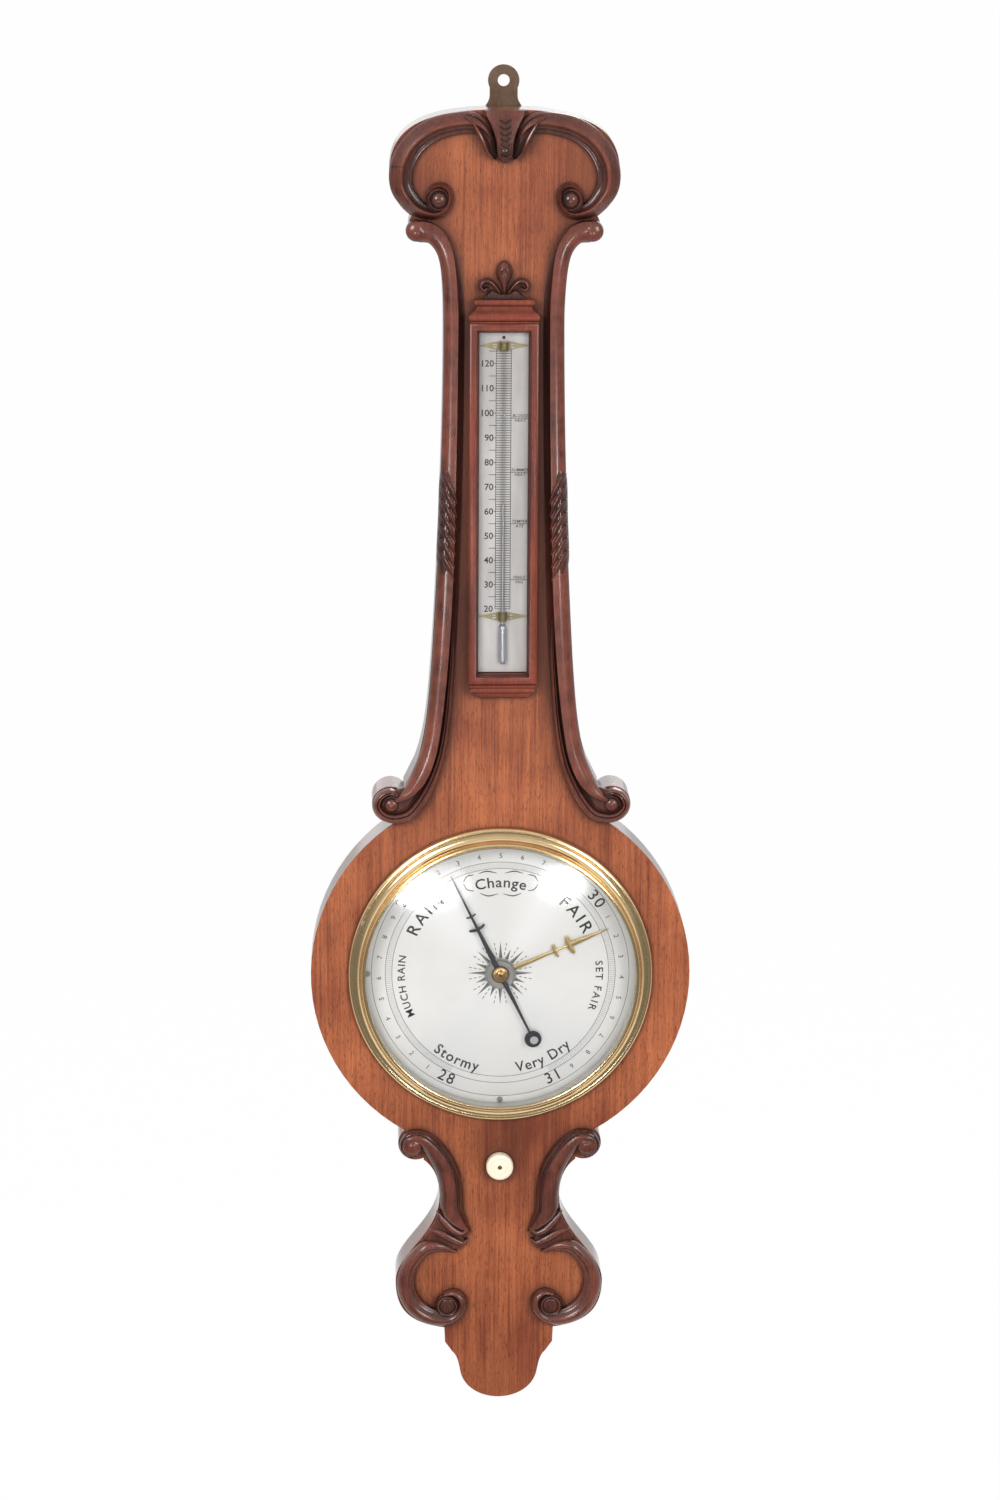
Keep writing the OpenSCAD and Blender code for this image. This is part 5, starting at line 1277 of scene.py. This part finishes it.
class BAROMETER_OT_hands(BarometerOperator, bpy.types.Operator):
    """Files up the indicating hand, the set hand and their boss"""
    bl_idname = "barometer.hands"
    bl_label = "Hands"

    def execute(self, context):
        low, high = STEEL_BACK, STEEL_BACK + HAND_THICK
        steel = blade([(4, 2.0), (12, 1.9), (36, 1.15), (50, 0.8), (70, 0.7), (83, 0.2)], low, high)
        steel.join(blade([(-50, 0.75), (-30, 1.0), (-12, 1.6), (-4, 1.7)], low, high))
        steel.join(rounded_bar(5.4, 2.3, 38.6, low, high))
        steel.join(rounded_bar(3.4, 1.3, 49.0, low, high))
        steel.join(tail_ring(low, high))
        hub = [(ARBOR_HOLE, low), (6.4, low), (6.4, high - 0.2), (6.2, high), (ARBOR_HOLE, high)]
        steel.join(lathe(hub, steps=64))
        spun(steel, STEEL_ANGLE)
        piece("indicator_hand_filed", steel, "blued_steel", "hand", ["indicator_hand"], sharp=25.0)
        collet = [(ARBOR_HOLE, high), (5.7, high), (5.6, high + 0.25), (3.9, high + 0.3), (3.2, high + 0.5),
                  (2.9, high + 1.1), (2.2, high + 1.6), (ARBOR_HOLE, high + 1.8)]
        collet = lathe(collet, steps=48)
        piece("hand_collet", collet, "blued_steel", "hand", finish="collet_brass", sharp=30.0)
        low, high = BRASS_BACK, BRASS_BACK + HAND_THICK
        brass = blade([(11.2, 1.75), (30, 1.15), (42, 0.75), (55, 0.7), (56.5, 1.9), (70, 1.2), (85.7, 0.25)],
                      low, high)
        brass.join(rounded_bar(4.4, 2.2, 43.2, low, high))
        brass.join(rounded_bar(6.0, 3.4, 54.6, low, high))
        spun(brass, BRASS_ANGLE)
        piece("set_hand_filed", brass, "hand_brass", "set_hand", ["set_hand"], sharp=25.0)
        rings = [(PIPE_HOLE, low), (11.4, low), (11.4, high), (11.0, high + 0.35), (10.4, high + 0.35),
                 (10.0, high), (9.4, high - 0.1), (8.8, high), (8.4, high), (7.8, high - 0.1), (7.0, high),
                 (PIPE_HOLE, high)]
        rings = lathe(rings, steps=96)
        piece("set_hand_boss", rings, "hand_brass", "set_hand", finish="boss_grey", sharp=30.0)
        return {"FINISHED"}


FLOURISH = [[[27, 69.5, 0.5, 1], [24.5, 73.5, 0.8, 1], [20, 74.6, 0.5, 1]],
            [[27, 67.5, 0.5, 1], [24.5, 63.5, 0.8, 1], [20, 62.4, 0.5, 1]],
            [[16, 75.6, 0.4, 1], [10, 77.2, 0.9, 1], [3, 75.8, 0.4, 1]],
            [[15, 60.6, 0.4, 1], [9, 58.6, 0.9, 1], [2, 60.2, 0.4, 1]]]
RAY_COUNT = 16


def dial_figures():
    """Inches and tenths round the dial, the lower ones read from below."""
    figures = Shape()
    for tenth in range(31):
        angle = FIRST_INCH + INCH_TURN * tenth / 10
        inward = abs(angle) > 110
        if tenth % 10 == 0:
            bent = clockwise(angle, 92.6 if inward else 85.6, inward)
            figures.join(lettering(str(28 + tenth // 10), 12.0, bent, DIAL_FACE, spacing=1.2, bold=0.08))
        else:
            bent = clockwise(angle, 90.8 if inward else 87.2, inward)
            figures.join(lettering(str(tenth % 10), 5.2, bent, DIAL_FACE))
    return figures


def flourish():
    """Engraved strokes round the word at the top."""
    strokes = Shape()
    section = [(1.0, 0.0, 0), (1.0, 1.0, 0), (-1.0, 1.0, 0), (-1.0, 0.0, 0)]
    for flip in (False, True):
        for row in FLOURISH:
            strokes.join(strand(row, section, INK, DIAL_FACE, caps=(2, 2)), flip)
    return strokes


def half_rays(way):
    """One side of each ray round the centre."""
    rays = Shape()
    for k in range(RAY_COUNT):
        a = 2 * math.pi * k / RAY_COUNT
        reach = 24.0 if k % 2 == 0 else 19.5
        outline = [on_dial(11.0, a), on_dial(reach, a), on_dial(12.0, a + way * math.radians(6.5))]
        rays.join(extruded(outline, DIAL_FACE, DIAL_FACE + INK))
    return rays


class BAROMETER_OT_dial(BarometerOperator, bpy.types.Operator):
    """Engraves the dial"""
    bl_idname = "barometer.dial"
    bl_label = "Dial"

    def execute(self, context):
        wide, inner, outer = self.size("tick_width"), self.size("ring_inner"), self.size("ring_outer")
        half = wide * 0.9
        circles = Shape()
        for r in (inner, outer, self.size("margin_circle")):
            section = [(r - half, DIAL_FACE), (r + half, DIAL_FACE), (r + half, DIAL_FACE + INK),
                       (r - half, DIAL_FACE + INK)]
            circles.join(lathe(section, steps=180))
        piece("dial_circles", circles, "dial_silver", finish="wax")
        bars = bar_ring()
        depth = DIAL_FACE + INK / 2
        ticks = from_nodes(bars, Count=301, First_angle=math.radians(FIRST_INCH),
                           Step=math.radians(INCH_TURN / 100), Inner_radius=inner, Outer_radius=outer,
                           Width=wide, Depth=depth)
        piece("dial_ticks", ticks, "dial_silver", finish="wax")
        piece("dial_figures", dial_figures(), "dial_silver", finish="wax")
        words = Shape()
        for text, angle, radius, size, inward, gap in WORDS:
            bent = clockwise(angle, radius, inward)
            words.join(lettering(text, size, bent, DIAL_FACE, spacing=gap, bold=size * 0.012))
        piece("dial_words", words, "dial_silver", finish="wax")
        piece("dial_flourish", flourish(), "dial_silver", finish="wax")
        piece("dial_rays_dark", half_rays(1), "dial_silver", finish="wax_grey")
        piece("dial_rays_light", half_rays(-1), "dial_silver", finish="wax_pale")
        dashes = Shape()
        for near in (14.0, 17.6, 21.2):
            dashes.join(from_nodes(bars, Count=RAY_COUNT, First_angle=math.pi / RAY_COUNT,
                                   Step=2 * math.pi / RAY_COUNT, Inner_radius=near, Outer_radius=near + 2.2,
                                   Width=0.45, Depth=depth))
        piece("dial_dashes", dashes, "dial_silver", finish="wax")
        return {"FINISHED"}


class BAROMETER_OT_knob(BarometerOperator, bpy.types.Operator):
    """Turns the setting knob"""
    bl_idname = "barometer.knob"
    bl_label = "Setting knob"

    def execute(self, context):
        r, hole = self.size("knob_radius"), 1.65
        profile = [(hole, 32.3), (r * 0.86, 32.3), (r * 0.97, 32.9), (r, 34.4), (r, 38.6), (r * 0.97, 39.6),
                   (r * 0.9, 40.3), (r * 0.8, 40.65), (r * 0.73, 40.7), (r * 0.7, 40.35), (r * 0.66, 40.2),
                   (r * 0.56, 40.2), (r * 0.52, 40.4), (r * 0.48, 40.7), (r * 0.36, 40.8), (2.4, 40.7),
                   (1.9, 40.5), (hole, 40.2)]
        knob = lathe(profile, (0.0, KNOB_HEIGHT), 96)
        piece("setting_knob_turned", knob, "bone", "knob", ["setting_knob"], sharp=30.0)
        return {"FINISHED"}


def look_at(eye, target, roll=0.0):
    """The matrix of a camera or lamp that looks at a point, turned about its view by a few degrees."""
    eye, target = Vector(eye), Vector(target)
    forward = (target - eye).normalized()
    right = forward.cross(Vector((0, 0, 1))).normalized()
    up = right.cross(forward)
    c, s = math.cos(math.radians(roll)), math.sin(math.radians(roll))
    turn = Matrix((c * right + s * up, c * up - s * right, -forward)).transposed().to_4x4()
    return Matrix.Translation(eye) @ turn


# The stage, in metres: the camera, and each light's name, shape, place, target, size and power

CAMERA_PLACE = (-0.10398, -2.97439, 0.25258)
CAMERA_TARGET = (-0.00122, -0.032, -0.47603)
CAMERA_ROLL = 0.3
CASE_MIDDLE = (0.0, 0.0, -0.5)
DIAL_LEFT = (-0.06, -0.04, -0.6)
DIAL_RIGHT = (0.05, -0.04, -0.58)
LIGHTS = [
    ("key", "RECTANGLE", (-1.5, -2.4, 0.9), CASE_MIDDLE, (1.1, 1.1), 50.0),
    ("fill", "RECTANGLE", (1.7, -2.4, 0.5), CASE_MIDDLE, (1.1, 1.1), 34.0),
    ("window_left", "ELLIPSE", (-0.441, -2.2, -0.735), DIAL_LEFT, (0.32, 0.19), 2.8),
    ("window_left_halo", "ELLIPSE", (-0.36, -2.24, -0.7), DIAL_LEFT, (0.5, 0.3), 1.3),
    ("window_right", "ELLIPSE", (0.456, -2.2, -0.687), DIAL_RIGHT, (0.22, 0.16), 1.7),
    ("window_right_halo", "ELLIPSE", (0.456, -2.24, -0.687), DIAL_RIGHT, (0.34, 0.25), 0.9),
    ("behind", "RECTANGLE", (0.9, 2.6, 1.2), CASE_MIDDLE, (1.4, 1.4), 30.0),
]


def set_camera(scene):
    camera = bpy.data.cameras.new("camera")
    camera.lens = 100.97
    camera.sensor_width = 36.0
    camera.clip_end = 200.0
    eye = bpy.data.objects.new("camera", camera)
    eye.matrix_world = look_at(CAMERA_PLACE, CAMERA_TARGET, CAMERA_ROLL)
    scene.collection.objects.link(eye)
    scene.camera = eye


def set_world(scene):
    """A room that is white to the camera, darker low and in front to mirrors, with a soft fill."""
    scene.world = bpy.data.worlds.new("studio")
    scene.world.use_nodes = True
    scene.world.node_tree.nodes.clear()
    t = Tree(scene.world.node_tree)
    _, back, up = t.parts(t.add("ShaderNodeTexCoord", {}, {}, out="Generated"))
    kinds = t.add("ShaderNodeLightPath").out.node.outputs
    seen = Socket(t, kinds["Is Camera Ray"])
    mirror = Socket(t, kinds["Is Glossy Ray"]) + Socket(t, kinds["Is Transmission Ray"])
    room = (t.step(back, -0.5, 0.15) * 0.75 + t.step(up, -0.2, 0.7) * 0.5 + 0.17).clamp()
    level = (seen + mirror * room).clamp()
    fill = (1.0 - (seen + mirror).clamp()) * 0.6
    sky = t.add("ShaderNodeBackground", {}, {"Color": (1, 1, 1, 1), "Strength": level + fill})
    t.add("ShaderNodeOutputWorld", {}, {"Surface": sky})


def lay_floor(scene):
    """A wide pale floor below the case, nearly white to the camera."""
    mesh = bpy.data.meshes.new("floor")
    low, near, far = -1.7, -0.6, 40.0
    corners = [(-far, near, low), (far, near, low), (far, far, low), (-far, far, low)]
    mesh.from_pydata(corners, [], [(0, 1, 2, 3)])
    floor = bpy.data.objects.new("floor", mesh)
    scene.collection.objects.link(floor)
    f = Finish("pale floor", Roughness=0.9)
    grain = f.noise(f.place, 3.0, 3.0)
    f.feed(Base_Color=f.mix(grain * 0.2, (0.9, 0.9, 0.9), (0.84, 0.84, 0.84)))
    glow = f.add("ShaderNodeEmission", {}, {"Color": (1, 1, 1, 1), "Strength": 1.0})
    seen = f.add("ShaderNodeLightPath", {}, {}, out="Is Camera Ray")
    mesh.materials.append(f.blended(seen * 0.98, f.body, glow))


def soft_light(scene, name, shape, place, target, size, power):
    lamp = bpy.data.lights.new(name, "AREA")
    lamp.shape = shape
    lamp.size, lamp.size_y = size
    lamp.energy = power
    made = bpy.data.objects.new(name, lamp)
    made.matrix_world = look_at(place, target)
    scene.collection.objects.link(made)


class BAROMETER_OT_stage(BarometerOperator, bpy.types.Operator):
    """Sets the camera, the room, the pale floor and the soft lights"""
    bl_idname = "barometer.stage"
    bl_label = "Stage"

    def execute(self, context):
        context.scene.view_settings.view_transform = "Standard"
        set_camera(context.scene)
        set_world(context.scene)
        lay_floor(context.scene)
        for light in LIGHTS:
            soft_light(context.scene, *light)
        return {"FINISHED"}


# Nodes drawn as columns: slot, the body that one end rides on, and which end stays (0 the lower, 1 the upper)

STRETCHED = [("float_thread", "cord", "float", 1), ("counterweight_thread", "cord", "counterweight", 1),
             ("lower_mercury", "mercury", "float", 0), ("upper_mercury", "mercury", "counterweight", 0)]


class BAROMETER_OT_columns(BarometerOperator, bpy.types.Operator):
    """Draws the threads and the mercury columns in place of their CAD nodes"""
    bl_idname = "barometer.columns"
    bl_label = "Threads and mercury"

    def execute(self, context):
        for node, slot, body, fixed in STRETCHED:
            low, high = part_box(node)
            middle = (low + high) * 0.5
            radius = (high.x - low.x) / 2 / MM
            ends = [low.z / MM + HANGER_RISE, high.z / MM + HANGER_RISE]
            run = ends[1] - ends[0]
            rows = [(radius, ends[0] + run * k / 24) for k in range(25)]
            shape = upright([(0.0, ends[0]), *rows, (0.0, ends[1])], -middle.y / MM, 20)
            shape.points = [(u + middle.x / MM, v, w) for u, v, w in shape.points]
            places = [(middle.x, middle.y, low.z), (middle.x, middle.y, high.z)]
            piece(node + "_drawn", shape, slot, ("case", body, places[fixed], places[1 - fixed]), [node])
        return {"FINISHED"}


OPERATORS = [BAROMETER_OT_finishes, BAROMETER_OT_crest, BAROMETER_OT_neck, BAROMETER_OT_base,
             BAROMETER_OT_box, BAROMETER_OT_scale, BAROMETER_OT_bezel, BAROMETER_OT_dial,
             BAROMETER_OT_hands, BAROMETER_OT_knob, BAROMETER_OT_columns, BAROMETER_OT_stage]


class BAROMETER_PT_panel(bpy.types.Panel):
    """Lists the barometer's pieces"""
    bl_idname = "BAROMETER_PT_panel"
    bl_label = "Barometer"
    bl_space_type = "VIEW_3D"
    bl_region_type = "UI"
    bl_category = "Barometer"

    def draw(self, context):
        column = self.layout.column()
        for kind in OPERATORS:
            column.operator(kind.bl_idname)


CLASSES = [BarometerSizes, BarometerColours, *OPERATORS, BAROMETER_PT_panel]


def register():
    for kind in CLASSES:
        bpy.utils.register_class(kind)
    bpy.types.Scene.barometer_sizes = PointerProperty(type=BarometerSizes)
    bpy.types.Scene.barometer_colours = PointerProperty(type=BarometerColours)


def unregister():
    del bpy.types.Scene.barometer_colours
    del bpy.types.Scene.barometer_sizes
    for kind in reversed(CLASSES):
        bpy.utils.unregister_class(kind)


def main():
    register()
    bpy.ops.barometer.finishes()
    bpy.ops.barometer.crest()
    bpy.ops.barometer.neck()
    bpy.ops.barometer.base()
    bpy.ops.barometer.box()
    bpy.ops.barometer.scale()
    bpy.ops.barometer.bezel()
    bpy.ops.barometer.dial()
    bpy.ops.barometer.hands()
    bpy.ops.barometer.knob()
    bpy.ops.barometer.columns()
    bpy.ops.barometer.stage()


if __name__ == "__main__":
    main()
